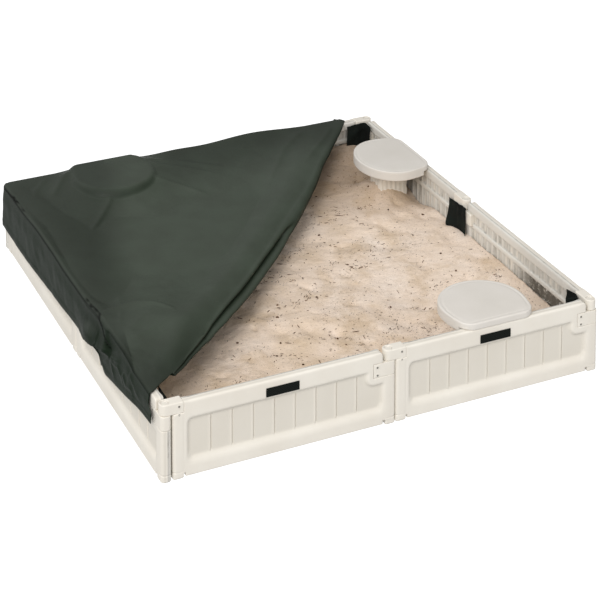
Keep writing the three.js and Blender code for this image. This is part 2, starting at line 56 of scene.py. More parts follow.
PIN_LOW, PIN_HIGH = box_mm("hinge_pin_front_right_corner")
PITCH = (PIN_LOW[0] + PIN_HIGH[0]) / 2                 # pin to pin; a wall is two pitches
PANEL_LOW, PANEL_HIGH = box_mm("panel_front_left")
UPPER_LOW, UPPER_HIGH = box_mm("upper_knuckle_front_left")
LOWER_LOW, LOWER_HIGH = box_mm("lower_knuckle_front_left")
PATCH_LOW, PATCH_HIGH = box_mm("hook_patch_front_left")
SAND_LOW = box_mm("sand_fill")[0]
COVER_LOW = box_mm("cover")[0]
LINER_LOW, LINER_HIGH = box_mm("ground_liner")
TAB_EDGE = LINER_HIGH[0]

HEIGHT = UPPER_HIGH[2]
RAIL_TOP = PANEL_HIGH[2]
OUTER = PANEL_LOW[1] + PITCH                           # outer face, from the plane of the pins
INNER = 8.0
POST_R = -OUTER
GAP = 0.4
UPPER_Z = UPPER_LOW[2]
UPPER_LENGTH = UPPER_HIGH[0] + PITCH
LOWER_Z0, LOWER_Z1 = LOWER_LOW[2], LOWER_HIGH[2]
LOWER_LENGTH = -LOWER_LOW[0]

END_POST = (15.5, 42.5)
END_POST_CORNER = 5.5
FOOT_SLOT = 5.0
POST_SQUARE = 15.5                                     # how far the squared hinge post reaches past its pin
FOOT_SLOT_TOP = 12.0
PANEL_BOTTOM = 3.0
FOOT_RING_Z = 16.5
RAIL_END = 20.5
RAIL_END_R = 9.0
RECESS = (50.0, PITCH - 17.0, 30.0, 144.0)
RECESS_DEPTH = 8.0
RECESS_R = 16.0
STEP_X, STEP_Z = PITCH - 60.0, 109.0
GROOVES = 8
GROOVE_X0, GROOVE_PITCH = 112.0, 54.7
BEAD_W, BEAD_HEIGHT = 2.3, 1.5                         # a bead runs beside each line between planks
LINE_W, LINE_DEPTH = 1.2, 2.6
GROOVE_Z = (46.0, 134.0)
LEDGE = (121.0, 131.0)                                 # between the two rows of inner pockets
POCKET_FOOT, POCKET_TOP = 20.0, 161.0
POCKET_DEPTH = 7.0
RIB_HEIGHT, RIB_PITCH = 6.0, 26.0

SIDES = ("front", "right", "back", "left")
WALLS = (                                              # panels as met from outside, then their pins
    ("front_left", "front_right", "front_left_corner", "front_middle"),
    ("right_front", "right_back", "front_right_corner", "right_middle"),
    ("back_right", "back_left", "back_right_corner", "back_middle"),
    ("left_back", "left_front", "back_left_corner", "left_middle"),
)

# ---- Distance fields, and the mesher that turns them into smooth closed shells

def smooth_join(a, b, k):
    h = np.clip(0.5 + 0.5 * (b - a) / k, 0, 1)
    return b + (a - b) * h - k * h * (1 - h)


def smooth_both(a, b, k):
    return -smooth_join(-a, -b, k)


def smooth_cut(a, b, k):
    return smooth_both(a, -b, k)


def step_to(x, low, high):
    t = np.clip((x - low) / (high - low), 0, 1)
    return t * t * (3 - 2 * t)


def bump(x, middle, width):
    return np.exp(-(((x - middle) / width) ** 2))


def rounded(a, b, r):
    """Joins two face distances into one solid whose shared edge is rounded to r."""
    a, b = a + r, b + r
    return np.minimum(np.maximum(a, b), 0) + np.hypot(np.maximum(a, 0), np.maximum(b, 0)) - r


def span(x, low, high):
    return np.abs(x - (low + high) / 2) - (high - low) / 2


def rectangle(u, v, u0, u1, v0, v1, r=0.0):
    return rounded(span(u, u0, u1), span(v, v0, v1), r)


def slab(outline, w, w0, w1, r):
    return rounded(outline, span(w, w0, w1), r)


def lines(low, high, step, fine=(), fine_step=1.0, reach=5.0):
    """Grid lines from low to high, closer together around the places in fine."""
    places = []
    at = low - 2 * step
    while at < high + 3 * step:
        places.append(at)
        near = min((abs(at - f) for f in fine), default=1e9)
        at += fine_step if near < reach else min(step, max(fine_step, near - reach + fine_step))
    return np.array(places)


def field_mesh(name, field, axes):
    """The closed surface where field(x, y, z), in mm, is zero, as a mesh in metres."""
    values = field(axes[0][:, None, None], axes[1][None, :, None], axes[2][None, None, :])
    inside = values < 0
    cells = tuple(n - 1 for n in values.shape)
    total = np.zeros(cells + (3,))
    count = np.zeros(cells)

    def at(array, corner):
        return array[tuple(slice(c, c + n) for c, n in zip(corner, cells))]

    for start in ((i, j, k) for i in (0, 1) for j in (0, 1) for k in (0, 1)):
        for axis in range(3):
            if start[axis] == 1:
                continue
            end = tuple(1 if i == axis else start[i] for i in range(3))
            a, b = at(values, start), at(values, end)
            crossing = (a < 0) != (b < 0)
            t = np.where(crossing, a / np.where(crossing, a - b, 1), 0)
            for i in range(3):
                total[..., i] += np.where(crossing, start[i] + (t if i == axis else 0), 0)
            count += crossing
    active = count > 0
    index = np.full(cells, -1)
    index[active] = np.arange(active.sum())
    cell = np.argwhere(active)
    part = total[active] / count[active][:, None]
    corner = [axes[i][cell[:, i]] for i in range(3)]
    size = [axes[i][cell[:, i] + 1] - corner[i] for i in range(3)]
    points = np.stack([corner[i] + part[:, i] * size[i] for i in range(3)], 1)
    faces = field_faces(inside, cells, index)
    reach = 0.45 * np.min(np.stack(size, 1), axis=1)
    return mesh_from(name, settle(points, field, reach) * MM, faces)


def field_faces(inside, cells, index):
    faces = []
    for axis in range(3):
        u, v = (axis + 1) % 3, (axis + 2) % 3
        near = [slice(1, n) for n in cells]
        near[axis] = slice(0, cells[axis])
        far = list(near)
        far[axis] = slice(1, cells[axis] + 1)
        starts, ends = inside[tuple(near)], inside[tuple(far)]
        for backwards in (False, True):
            edge = np.argwhere((~starts & ends) if backwards else (starts & ~ends))
            ring = []
            for du, dv in ((0, 0), (1, 0), (1, 1), (0, 1)):
                at = edge.copy()
                at[:, u] += du
                at[:, v] += dv
                ring.append(index[at[:, 0], at[:, 1], at[:, 2]])
            quad = np.stack(ring, 1)
            faces.append(quad[:, ::-1] if backwards else quad)
    return np.concatenate(faces)


def settle(points, field, reach):
    """Moves points onto the surface along the field's slope."""
    probe = 0.05
    for _ in range(3):
        here = field(*points.T)
        slope = []
        for i in range(3):
            shift = points.copy()
            shift[:, i] += probe
            slope.append((field(*shift.T) - here) / probe)
        slope = np.stack(slope, 1)
        move = -(here / np.maximum((slope ** 2).sum(1), 0.1))[:, None] * slope
        length = np.maximum(np.linalg.norm(move, axis=1), 1e-9)
        points = points + move * np.minimum(1, reach / length)[:, None]
    return points


def mesh_from(name, points, faces):
    """A smooth-shaded mesh from points in metres and faces that all have the same number of sides."""
    mesh = bpy.data.meshes.new(name)
    faces = np.asarray(faces, np.int32)
    mesh.vertices.add(len(points))
    mesh.vertices.foreach_set("co", np.asarray(points, np.float32).ravel())
    mesh.loops.add(faces.size)
    mesh.loops.foreach_set("vertex_index", faces.ravel())
    mesh.polygons.add(len(faces))
    mesh.polygons.foreach_set("loop_start", np.arange(0, faces.size, faces.shape[1], dtype=np.int32))
    mesh.update(calc_edges=True)
    mesh.polygons.foreach_set("use_smooth", [True] * len(mesh.polygons))
    return mesh


# ---- Materials

def linear(code):
    parts = [int(code[i:i + 2], 16) / 255 for i in (1, 3, 5)]
    return [c / 12.92 if c <= 0.04045 else ((c + 0.055) / 1.055) ** 2.4 for c in parts] + [1.0]


class Graph:
    """A node material, with its nodes added and wired through add()."""

    def __init__(self, name, roughness, specular=0.5):
        self.material = bpy.data.materials.new(name)
        self.material.use_nodes = True
        self.tree = self.material.node_tree
        self.surface = self.tree.nodes["Principled BSDF"]
        self.surface.inputs["Roughness"].default_value = roughness
        self.surface.inputs["Specular IOR Level"].default_value = specular
        self.place = self.add("ShaderNodeTexCoord").outputs["Object"]

    def add(self, kind, **values):
        node = self.tree.nodes.new(kind)
        for key, value in values.items():
            if hasattr(node, key):
                setattr(node, key, value)
            else:
                self.set(node.inputs[key.replace("_", " ").title()], value)
        return node

    def set(self, socket, value):
        if isinstance(value, bpy.types.NodeSocket):
            self.tree.links.new(value, socket)
        else:
            socket.default_value = value

    def noise(self, scale, detail=3.0, roughness=0.5, stretch=None):
        node = self.add("ShaderNodeTexNoise", scale=scale, detail=detail, roughness=roughness)
        place = self.place
        if stretch:
            place = self.add("ShaderNodeMapping", vector=place, scale=stretch).outputs["Vector"]
        self.set(node.inputs["Vector"], place)
        return node.outputs["Fac"]

    def wave(self, direction, scale, distortion):
        node = self.add("ShaderNodeTexWave", bands_direction=direction, scale=scale, distortion=distortion)
        self.set(node.inputs["Vector"], self.place)
        return node.outputs["Fac"]

    def ramp(self, value, *stops):
        node = self.add("ShaderNodeValToRGB")
        self.set(node.inputs["Fac"], value)
        elements = node.color_ramp.elements
        while len(elements) < len(stops):
            elements.new(0.5)
        for element, (position, color) in zip(elements, stops):
            element.position = position
            element.color = linear(color) if isinstance(color, str) else (color,) * 3 + (1,)
        return node.outputs["Color"]

    def mix(self, factor, a, b):
        """a, or b by factor; the numbered sockets are the colour ones."""
        node = self.add("ShaderNodeMix", data_type="RGBA")
        self.set(node.inputs["Factor"], factor)
        self.set(node.inputs[6], a)
        self.set(node.inputs[7], b)
        return node.outputs[2]

    def math(self, operation, a, b):
        node = self.add("ShaderNodeMath", operation=operation)
        self.set(node.inputs[0], a)
        self.set(node.inputs[1], b)
        return node.outputs[0]

    def times(self, a, b):
        return self.math("MULTIPLY", a, b)

    def axes(self, vector):
        return self.add("ShaderNodeSeparateXYZ", vector=vector).outputs

    def color(self, value):
        self.set(self.surface.inputs["Base Color"], value)

    def roughness(self, value):
        self.set(self.surface.inputs["Roughness"], value)

    def bump(self, height, distance, strength=1.0, after=None):
        node = self.add("ShaderNodeBump", strength=strength, distance=distance)
        self.set(node.inputs["Height"], height)
        if after:
            self.set(node.inputs["Normal"], after)
        self.set(self.surface.inputs["Normal"], node.outputs["Normal"])
        return node.outputs["Normal"]


# Where grime and painted shade darken the right wall's inner face by the front corner.
GRIME_SHADE_FACE = (PITCH - INNER) * MM                      # the inner face of the right wall
GRIME_SHADE_ACROSS = ((-0.017, 0.0), (-0.011, 1.0), (0.009, 1.0), (0.011, 0.0))
GRIME_SHADE_ALONG = ((0.24, 0.0), (0.34, 1.0), (0.56, 1.0), (0.565, 0.0))
GRIME_SHADE_LEVELS = ((-3.0, 1.0), (1.4, 0.25), (39.0, 0.1)) # mm above the ledge's lower edge
LEVEL_SCALE = 5.0                                      # spreads heights in metres over a ramp


def caked_grime_and_shade(graph):
    """Where wet sand has caked on the right wall's inner face, beside the front corner, darkened further as
    painted shade.
    """
    where = graph.axes(graph.add("ShaderNodeNewGeometry").outputs["Position"])
    across = graph.ramp(where["X"], *((GRIME_SHADE_FACE + x, value) for x, value in GRIME_SHADE_ACROSS))
    along = graph.ramp(graph.times(where["Y"], -1), *GRIME_SHADE_ALONG)
    levels = (((LEDGE[0] + z) * MM * LEVEL_SCALE, value) for z, value in GRIME_SHADE_LEVELS)
    low_down = graph.ramp(graph.times(where["Z"], LEVEL_SCALE), *levels)
    ragged = graph.ramp(graph.noise(55, 6, 0.85), (0.38, 0.0), (0.46, 1.0))
    return graph.times(graph.times(graph.times(across, along), ragged), low_down)


def inner_dust_and_shade(graph, tone):
    """A grey film on the inner faces, dust in their pockets, painted shade deepening towards the pocket
    floors, and the caked grime with its painted shade.
    """
    y = graph.axes(graph.place)["Y"]
    depth = graph.times(graph.math("SUBTRACT", INNER * MM, y), 1 / (POCKET_DEPTH * MM))
    inside = graph.ramp(graph.times(y, 400), (0.0, 0.0), (1.0, 1.0))
    pocket = graph.times(graph.ramp(depth, (0.25, 0.0), (0.9, 1.0)), inside)
    filmed = graph.mix(graph.times(inside, 0.32), tone, linear("#BCBFBF"))
    # painted shade: the pockets darken towards their floors
    shaded = graph.mix(graph.times(pocket, 0.55), filmed, linear("#9C9A93"))
    patchy = graph.ramp(graph.noise(34, 6, 0.8, (1, 1, 0.45)), (0.50, 0.0), (0.62, 0.75))
    dusty_and_shaded = graph.mix(graph.times(patchy, pocket), shaded, linear("#837E73"))
    # caked grime beside the front corner, with painted shade in the same mark
    return graph.mix(graph.times(caked_grime_and_shade(graph), 0.9), dusty_and_shaded, linear("#3B352A"))


def recess_tone(graph, tone):
    """The planks of the outer face sit back from it and take a shade off."""
    ramp_reach = 4 * RECESS_DEPTH * MM
    set_back = graph.times(graph.math("ADD", graph.axes(graph.place)["Y"], -OUTER * MM), 1 / ramp_reach)
    depth = graph.ramp(set_back, (0.09, 0.0), (0.24, 0.55), (0.30, 0.55), (0.36, 0.0))
    return graph.mix(depth, tone, linear("#D2CCC0"))


def plastic(name, light, dark, roughness, dusty_and_shaded=False):
    """Blow-moulded plastic: a faint cloudy tone, fine orange peel and, optionally, sand dust with painted
    shade on the inner faces.
    """
    graph = Graph(name, roughness)
    tone = graph.ramp(graph.noise(9, 4), (0.35, dark), (0.65, light))
    graph.color(inner_dust_and_shade(graph, recess_tone(graph, tone)) if dusty_and_shaded else tone)
    graph.roughness(graph.ramp(graph.noise(30, 3), (0.3, roughness - 0.06), (0.7, roughness + 0.06)))
    soft = graph.bump(graph.noise(45, 2), 0.0006, 0.35)
    graph.bump(graph.noise(420, 2), 0.0001, 0.5, soft)
    return graph.material


def woven_graph(name, light, dark, roughness, thread, specular=0.5):
    """Cloth: fine crossing threads, slight tone changes and soft creases."""
    graph = Graph(name, roughness, specular)
    graph.color(graph.ramp(graph.noise(14, 4), (0.35, dark), (0.65, light)))
    waves = [graph.wave(direction, thread, 0.6) for direction in "XY"]
    creases = graph.bump(graph.noise(38, 3, 0.55), 0.0012, 0.5)
    graph.bump(graph.times(*waves), 0.00012, 0.35, creases)
    return graph


def woven(*values, **named):
    return woven_graph(*values, **named).material


def cover_cloth(name, light, dark):
    """Coated nylon: satin where it lies flat, darker and duller where it hangs, as painted shade and sheen
    by facing, with more painted shade from the shade attribute.
    """
    graph = woven_graph(name, light, dark, 0.42, 420)
    upright = graph.axes(graph.add("ShaderNodeNewGeometry").outputs["Normal"])["Z"]
    lying = graph.ramp(upright, (0.35, 0.0), (0.95, 1.0))
    kept = graph.add("ShaderNodeAttribute", attribute_name="shade").outputs["Fac"]
    tone = graph.surface.inputs["Base Color"].links[0].from_socket
    # painted shade: hanging parts, by their facing, are mixed towards near black
    tone = graph.mix(lying, graph.mix(0.8, tone, linear("#051407")), tone)
    # painted shade from the shade attribute, darkening towards black
    graph.color(graph.mix(kept, linear("#000000"), tone))
    # painted sheen: lying parts reflect more than hanging ones, and less where painted shade falls
    shine = graph.ramp(upright, (0.35, 0.10), (0.95, 0.66))
    graph.set(graph.surface.inputs["Specular IOR Level"], graph.times(shine, kept))
    return graph.material


def hook_fuzz(name):
    """The short stiff loops of a hook-and-loop patch, in slanting rows."""
    graph = Graph(name, 0.95, 0.15)
    stripes = graph.wave("DIAGONAL", 110, 3)
    graph.color(graph.ramp(stripes, (0.2, "#0B0E0C"), (0.9, "#1A1F1C")))
    rough = graph.bump(graph.noise(900, 2), 0.0006, 0.8)
    graph.bump(stripes, 0.0004, 0.6, rough)
    return graph.material


BACK_SHADOW_AT = (0.36, 0.62, 0.09)                           # where a shadow is painted on the sand by the back wall


def sand_grain(name):
    """Pale sand: tone patches, grains, dark specks, strewn crumbs and a painted shadow in the back corner.
    """
    graph = Graph(name, 0.95)
    base = graph.ramp(graph.noise(5.5, 5, 0.6), (0.3, "#D6BD9F"), (0.5, "#EBD6C2"), (0.72, "#F2E2D4"))
    patches = graph.ramp(graph.noise(9, 5, 0.62), (0.50, 0.0), (0.68, 0.6))
    base = graph.mix(patches, base, linear("#BC9E74"))
    grains = graph.ramp(graph.noise(950, 2, 0.7), (0.3, "#8E7660"), (0.5, "#E2D2C0"), (0.8, "#FFF6EA"))
    base = graph.mix(0.22, base, grains)
    specks = graph.ramp(graph.noise(210, 3, 0.75), (0.33, 1.0), (0.38, 0.0))
    base = graph.mix(graph.times(specks, 0.55), base, linear("#6A5645"))
    crumbs = graph.ramp(graph.noise(115, 5, 0.85), (0.55, 0.0), (0.60, 0.6))
    strewn = graph.ramp(graph.noise(8, 3, 0.6, (1, 1.7, 1)), (0.50, 0.0), (0.66, 1.0))
    base = graph.mix(graph.times(crumbs, strewn), base, linear("#7E6449"))
    away = graph.add("ShaderNodeVectorMath", operation="DISTANCE")
    graph.set(away.inputs[0], graph.place)
    away.inputs[1].default_value = BACK_SHADOW_AT
    # painted shadow: the sand darkens towards the back wall
    back_shadow = graph.ramp(away.outputs["Value"], (0.22, 0.64), (0.47, 0.0))
    graph.color(graph.mix(back_shadow, base, linear("#8F765C")))
    wavy = graph.bump(graph.noise(60, 5, 0.68, (0.7, 1.3, 1)), 0.006, 0.7)
    graph.bump(graph.noise(700, 3, 0.7), 0.0008, 0.6, wavy)
    return graph.material


def bark(name):
    graph = Graph(name, 0.9, 0.1)
    graph.color(graph.ramp(graph.noise(160, 4), (0.3, "#2A190D"), (0.7, "#75563A")))
    graph.bump(graph.noise(300, 3), 0.001, 0.8)
    return graph.material


# the panel's inner faces carry dust and painted shade
PANEL_SKIN = plastic("panel_skin", "#E9E4DA", "#E3DDD2", 0.5, dusty_and_shaded=True)
KNUCKLE_SKIN = plastic("knuckle_skin", "#EAE5DB", "#E4DED3", 0.46)
PIN_SKIN = plastic("pin_skin", "#E6E1D8", "#DFD9CE", 0.42)
SEAT_SKIN = plastic("seat_skin", "#DBD6CF", "#D5D0C8", 0.5)
SCREW_SKIN = plastic("screw_skin", "#8C8981", "#6C6A64", 0.4)
PATCH_SKIN = hook_fuzz("hook_patch")
LINER_SKIN = woven("liner_cloth", "#141B17", "#090D0B", 0.9, 330, specular=0.2)
SAND_SKIN = sand_grain("sand")
DEBRIS_SKIN = bark("debris")
COVER_SKIN = cover_cloth("cover_cloth", "#343F31", "#2F392B")
# The seam cord is near black: a real seam, its darkness partly painted shade of the seam's fold.
SEAM_SKIN = woven("cover_seam", "#0A0E0A", "#060806", 0.95, 800)
THREAD_SKIN = woven("cover_thread", "#232A23", "#171C17", 0.8, 800)

# ---- Placing

def wall_place(turn, x):
    """The wall frame: x along the wall, y = 0 in the plane of the pins and outside at -y."""
    shift = Matrix.Translation((x * MM, -PITCH * MM, 0))
    return Matrix.Rotation(turn * math.pi / 2, 4, "Z") @ shift


def linked(name, data):
    """A new object in the scene that holds data."""
    thing = bpy.data.objects.new(name, data)
    bpy.context.scene.collection.objects.link(thing)
    return thing


def add(name, mesh, body, skin, place=None, replaces=()):
    """Puts a piece in the scene, on its body; replaces names the frame's nodes it stands for."""
    thing = linked(name, mesh)
    if not mesh.materials:
        mesh.materials.append(skin)
    if place is not None:
        thing.matrix_world = place
    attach(thing, body)
    if replaces:
        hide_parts(*replaces)
    return thing


# ---- Wall panel

def rail_outline(x, z):
    """The panel's plate seen from outside, cut away for the knuckles and at the hinge post's foot."""
    corner_x, corner_z = PITCH - RAIL_END - RAIL_END_R, RAIL_TOP - RAIL_END_R
    plate = rectangle(x, z, END_POST[0] + 6, PITCH - RAIL_END, PANEL_BOTTOM, RAIL_TOP, 2)
    far = rounded(x - PITCH + RAIL_END, z - RAIL_TOP, RAIL_END_R)
    plate = np.where((x > corner_x) & (z > corner_z), np.maximum(plate, far), plate)
    toe = rectangle(x, z, PITCH - 80, PITCH, FOOT_SLOT_TOP, LOWER_Z0 - GAP, 1)
    plate = np.minimum(plate, toe)
    for cut in (
        rectangle(x, z, -50, UPPER_LENGTH + GAP, UPPER_Z - GAP, 300),
        rectangle(x, z, PITCH - LOWER_LENGTH - GAP, PITCH + 50, LOWER_Z0 - GAP, LOWER_Z1 + GAP),
        rectangle(x, z, PITCH - POST_R, PITCH + 50, -20, FOOT_SLOT_TOP, 2),
    ):
        plate = np.maximum(plate, -cut)
    return plate


def foot_slots(x, y, z):
    """The slots at the foot of both posts, open towards the outer face."""
    slot_x = PITCH - POST_R - FOOT_SLOT
    near = rectangle(x, z, END_POST[1], END_POST[1] + FOOT_SLOT, -20, FOOT_SLOT_TOP, 2)
    far = rectangle(x, z, slot_x, slot_x + FOOT_SLOT, -20, FOOT_SLOT_TOP, 2)
    return np.maximum(np.minimum(near, far), y - INNER + 6)


def hinge_plan(u, y):
    """Plan of the hinge post and its knuckle; u runs from the pin into the panel."""
    return rectangle(u, y, -POST_SQUARE, POST_R + 6, -POST_R, POST_SQUARE - 3, 10)


def recess_field(x, y, z):
    """The planked recess of the outer face; its border slopes, widest along the bottom."""
    x0, x1, z0, z1 = RECESS
    outline = rectangle(x, z, x0, x1, z0, z1, RECESS_R)
    step = rectangle(x, z, STEP_X, PITCH + 100, STEP_Z, 300, RECESS_R)
    outline = smooth_cut(outline, step, 5)
    slope = 1.0 + 1.6 * (1 - step_to(z, z0 + 6, z0 + 30))
    border = (outline + (y - OUTER) * slope) / np.sqrt(1 + slope ** 2)
    nearest = np.clip(np.round((x - GROOVE_X0) / GROOVE_PITCH), 0, GROOVES - 1)
    across = x - GROOVE_X0 - nearest * GROOVE_PITCH
    low, high = GROOVE_Z
    ends = step_to(z, low - 3, low + 2) * (1 - step_to(z, high - 2, high + 3))
    relief = BEAD_HEIGHT * bump(across, -1.0, BEAD_W) - LINE_DEPTH * bump(across, 2.0, LINE_W)
    planks = y - (OUTER + RECESS_DEPTH - relief * ends)
    return smooth_both(border, planks, 2.0)


def pocket_field(x, y, z):
    """Two rows of ribbed pockets in the inner face, with a ledge between them."""
    left, right = END_POST[1] + 8, PITCH - 34
    upper = rectangle(x, z, left, right, LEDGE[1], POCKET_TOP, 8)
    lower = rectangle(x, z, left, right, POCKET_FOOT, LEDGE[0], 8)
    ribs = RIB_HEIGHT * (1 - np.abs(np.sin(math.pi * x / RIB_PITCH)) ** 0.7)
    ribs = ribs + 0.8 * np.cos(2 * math.pi * x / 173 + z / 40)
    border = (np.minimum(upper, lower) + (INNER - y) * 0.5) / math.sqrt(1.25)
    floor = INNER - POCKET_DEPTH + ribs - y
    return smooth_both(border, floor, 2.5)


def panel_field(x, y, z):
    """A whole panel in its wall frame: rail, plate, both posts, recess and pockets."""
    inboard = step_to(x, UPPER_LENGTH + 2, UPPER_LENGTH + 16)
    inboard = inboard * (1 - step_to(x, PITCH - RAIL_END - 30, PITCH - RAIL_END - RAIL_END_R))
    rounding = 1.8 + 3.4 * step_to(z, 160, 175) * inboard
    plate = slab(rail_outline(x, z), y, OUTER, INNER, rounding)
    ring = 1.6 * bump(z, FOOT_RING_Z, 1.2)
    plan = rectangle(x, y, END_POST[0], END_POST[1], -POST_R, POST_R, END_POST_CORNER)
    end_post = slab(plan, z, 0, UPPER_Z - GAP, 2.5) + ring
    plan = np.maximum(hinge_plan(PITCH - x, y), PITCH - x - POST_R)
    hinge_post = slab(plan, z, 0, LOWER_Z0 - GAP, 0.8) + ring
    whole = smooth_join(smooth_join(plate, end_post, 3), hinge_post, 2)
    whole = smooth_cut(smooth_cut(whole, foot_slots(x, y, z), 0.8), recess_field(x, y, z), 2.2)
    return smooth_cut(whole, pocket_field(x, y, z), 2.0)


def panel_mesh():
    grooves = [GROOVE_X0 + i * GROOVE_PITCH for i in range(GROOVES)]
    edges = (RAIL_TOP, LOWER_Z0, LOWER_Z1, FOOT_RING_Z, FOOT_SLOT_TOP, PANEL_BOTTOM)
    axes = (
        lines(END_POST[0], PITCH + POST_R, 3.0, grooves + [UPPER_LENGTH, PITCH - LOWER_LENGTH], 1.0, 5.0),
        lines(-POST_R, POST_R, 1.7),
        lines(0, RAIL_TOP, 2.6, edges, 1.3, 3.5),
    )
    return field_mesh("panel", panel_field, axes)


# ---- Knuckles, pins, screws and hook patches

SCREW_X = (31.0, 36.0)                                 # from the pin: upper, lower knuckle
UPPER_SCREWS = (HEIGHT - 10.0, HEIGHT - 30.5)
LOWER_SCREWS = (HEIGHT - 35.5, HEIGHT - 55.5)
SCREW_WELL_R = 2.6
SCREW_WELL = 1.8
SCREW_SUNK = 0.0004                                    # metres
CAP_R = 9.4


def knuckle_field(u, y, z, plan, z0, z1, edge_r, screw_x, screws):
    """u runs from the pin along the knuckle, whose outline is plan."""
    body = slab(plan, z, z0, z1, edge_r)
    for screw_z in screws:
        about = np.hypot(u - screw_x, z - screw_z)
        boss = slab(about - SCREW_WELL_R - 2.2, y, OUTER - 0.6, OUTER + 4, 0.5)
        well = slab(about - SCREW_WELL_R, y, OUTER - 10, OUTER + SCREW_WELL, 0.4)
        body = smooth_cut(smooth_join(body, boss, 0.8), well, 0.5)
    return body


def upper_field(x, y, z):
    plan = np.minimum(rectangle(x, y, 0, UPPER_LENGTH, -POST_R, POST_R, 0.8), np.hypot(x, y) - POST_R)
    body = knuckle_field(x, y, z, plan, UPPER_Z, HEIGHT, 2.2, SCREW_X[0], UPPER_SCREWS)
    seat = slab(np.hypot(x, y) - CAP_R - 0.6, z, HEIGHT - 3.4, HEIGHT + 20, 0.4)
    return smooth_cut(body, seat, 0.8)


def lower_field(x, y, z):
    u = PITCH - x
    plan = np.minimum(rectangle(u, y, 0, LOWER_LENGTH, -POST_R, POST_R, 0.8),
                      np.maximum(hinge_plan(u, y), u - POST_R))
    return knuckle_field(u, y, z, plan, LOWER_Z0, LOWER_Z1, 0.8, SCREW_X[1], LOWER_SCREWS)


def knuckle_meshes():
    depth = lines(-POST_R, POST_R, 1.5, (OUTER,), 0.8, 3)
    upper = (
        lines(-POST_R, UPPER_LENGTH, 1.5, (SCREW_X[0],), 0.9, 5), depth,
        lines(UPPER_Z, HEIGHT, 1.5, UPPER_SCREWS, 0.9, 5),
    )
    lower = (
        lines(PITCH - LOWER_LENGTH, PITCH + POST_R, 1.5, (PITCH - SCREW_X[1],), 0.9, 5), depth,
        lines(LOWER_Z0, LOWER_Z1, 1.5, LOWER_SCREWS, 0.9, 5),
    )
    return field_mesh("upper_knuckle", upper_field, upper), field_mesh("lower_knuckle", lower_field, lower)


def round_faces(first, rings, sides):
    """Faces of a closed turned solid whose points, from first, are a pole, rings and a pole."""
    faces = []
    last = first + 1 + (rings - 1) * sides
    for i in range(sides):
        j = (i + 1) % sides
        faces.append((first, first + 1 + j, first + 1 + i))
        for a in range(first + 1, last, sides):
            faces.append((a + i, a + j, a + sides + j, a + sides + i))
        faces.append((last + i, last + j, last + sides))
    return faces


def mixed_mesh(name, points, faces):
    """A smooth-shaded mesh in metres from points in mm; its faces may differ in their sides."""
    mesh = bpy.data.meshes.new(name)
    mesh.from_pydata([tuple(c * MM for c in p) for p in points], [], faces)
    mesh.polygons.foreach_set("use_smooth", [True] * len(faces))
    return mesh


def turned_mesh(name, profile, sides=40):
    """A closed solid of revolution about Z; profile is (radius, z) in mm from axis to axis."""
    turns = [2 * math.pi * i / sides for i in range(sides)]
    rings = [(r * math.cos(turn), r * math.sin(turn), z) for r, z in profile[1:-1] for turn in turns]
    points = [(0, 0, profile[0][1]), *rings, (0, 0, profile[-1][1])]
    mesh = mixed_mesh(name, points, round_faces(0, len(profile) - 2, sides))
    mesh.set_sharp_from_angle(angle=math.radians(35))
    return mesh


def pin_mesh():
    top = HEIGHT - 0.7
    return turned_mesh("hinge_pin", [
        (0, 20), (3.6, 20), (5, 21.5), (5, top - 2.4), (CAP_R - 0.4, top - 2.4), (CAP_R, top - 1.9),
        (CAP_R, top - 0.8), (CAP_R - 0.8, top), (CAP_R - 2.6, top), (CAP_R - 3.2, top - 0.9), (0, top - 0.9),
    ])


def screw_mesh():
    """A cross-head screw lying along Y, its head looking along -Y."""
    head_r, head_y, bottom = 2.4, -SCREW_WELL + 0.2, 12.0

    def field(x, y, z):
        about = np.hypot(x, z)
        dome = np.maximum(about - head_r, -(y - head_y) + 0.06 * about ** 2)
        head = np.maximum(dome, y - head_y - 1.4)
        shank = slab(about - 1.5, y, head_y, bottom, 0.3)
        cross = np.minimum(rectangle(x, z, -2, 2, -0.45, 0.45), rectangle(x, z, -0.45, 0.45, -2, 2))
        return np.maximum(np.minimum(head, shank), -np.maximum(cross, y - head_y - 1.0))

    across = lines(-head_r, head_r, 0.42)
    along = lines(head_y - 0.2, bottom, 1.2, (head_y + 0.6,), 0.4, 1.2)
    return field_mesh("screw", field, (across, along, across))


def patch_mesh():
    """Hook-and-loop patch with soft edges and a slightly uneven face."""
    x0, x1 = PATCH_LOW[0] + PITCH, PATCH_HIGH[0] + PITCH
    z0, z1 = PATCH_LOW[2], PATCH_HIGH[2]

    def field(x, y, z):
        face = 0.18 * np.sin(x * 1.9 + z * 1.3) * np.sin(z * 2.1)
        return slab(rectangle(x, z, x0, x1, z0, z1, 1.2), y, OUTER - 1.7 + face, OUTER - 0.05, 0.5)

    axes = (lines(x0, x1, 0.9), lines(OUTER - 1.7, OUTER, 0.5), lines(z0, z1, 0.9))
    return field_mesh("hook_patch", field, axes)


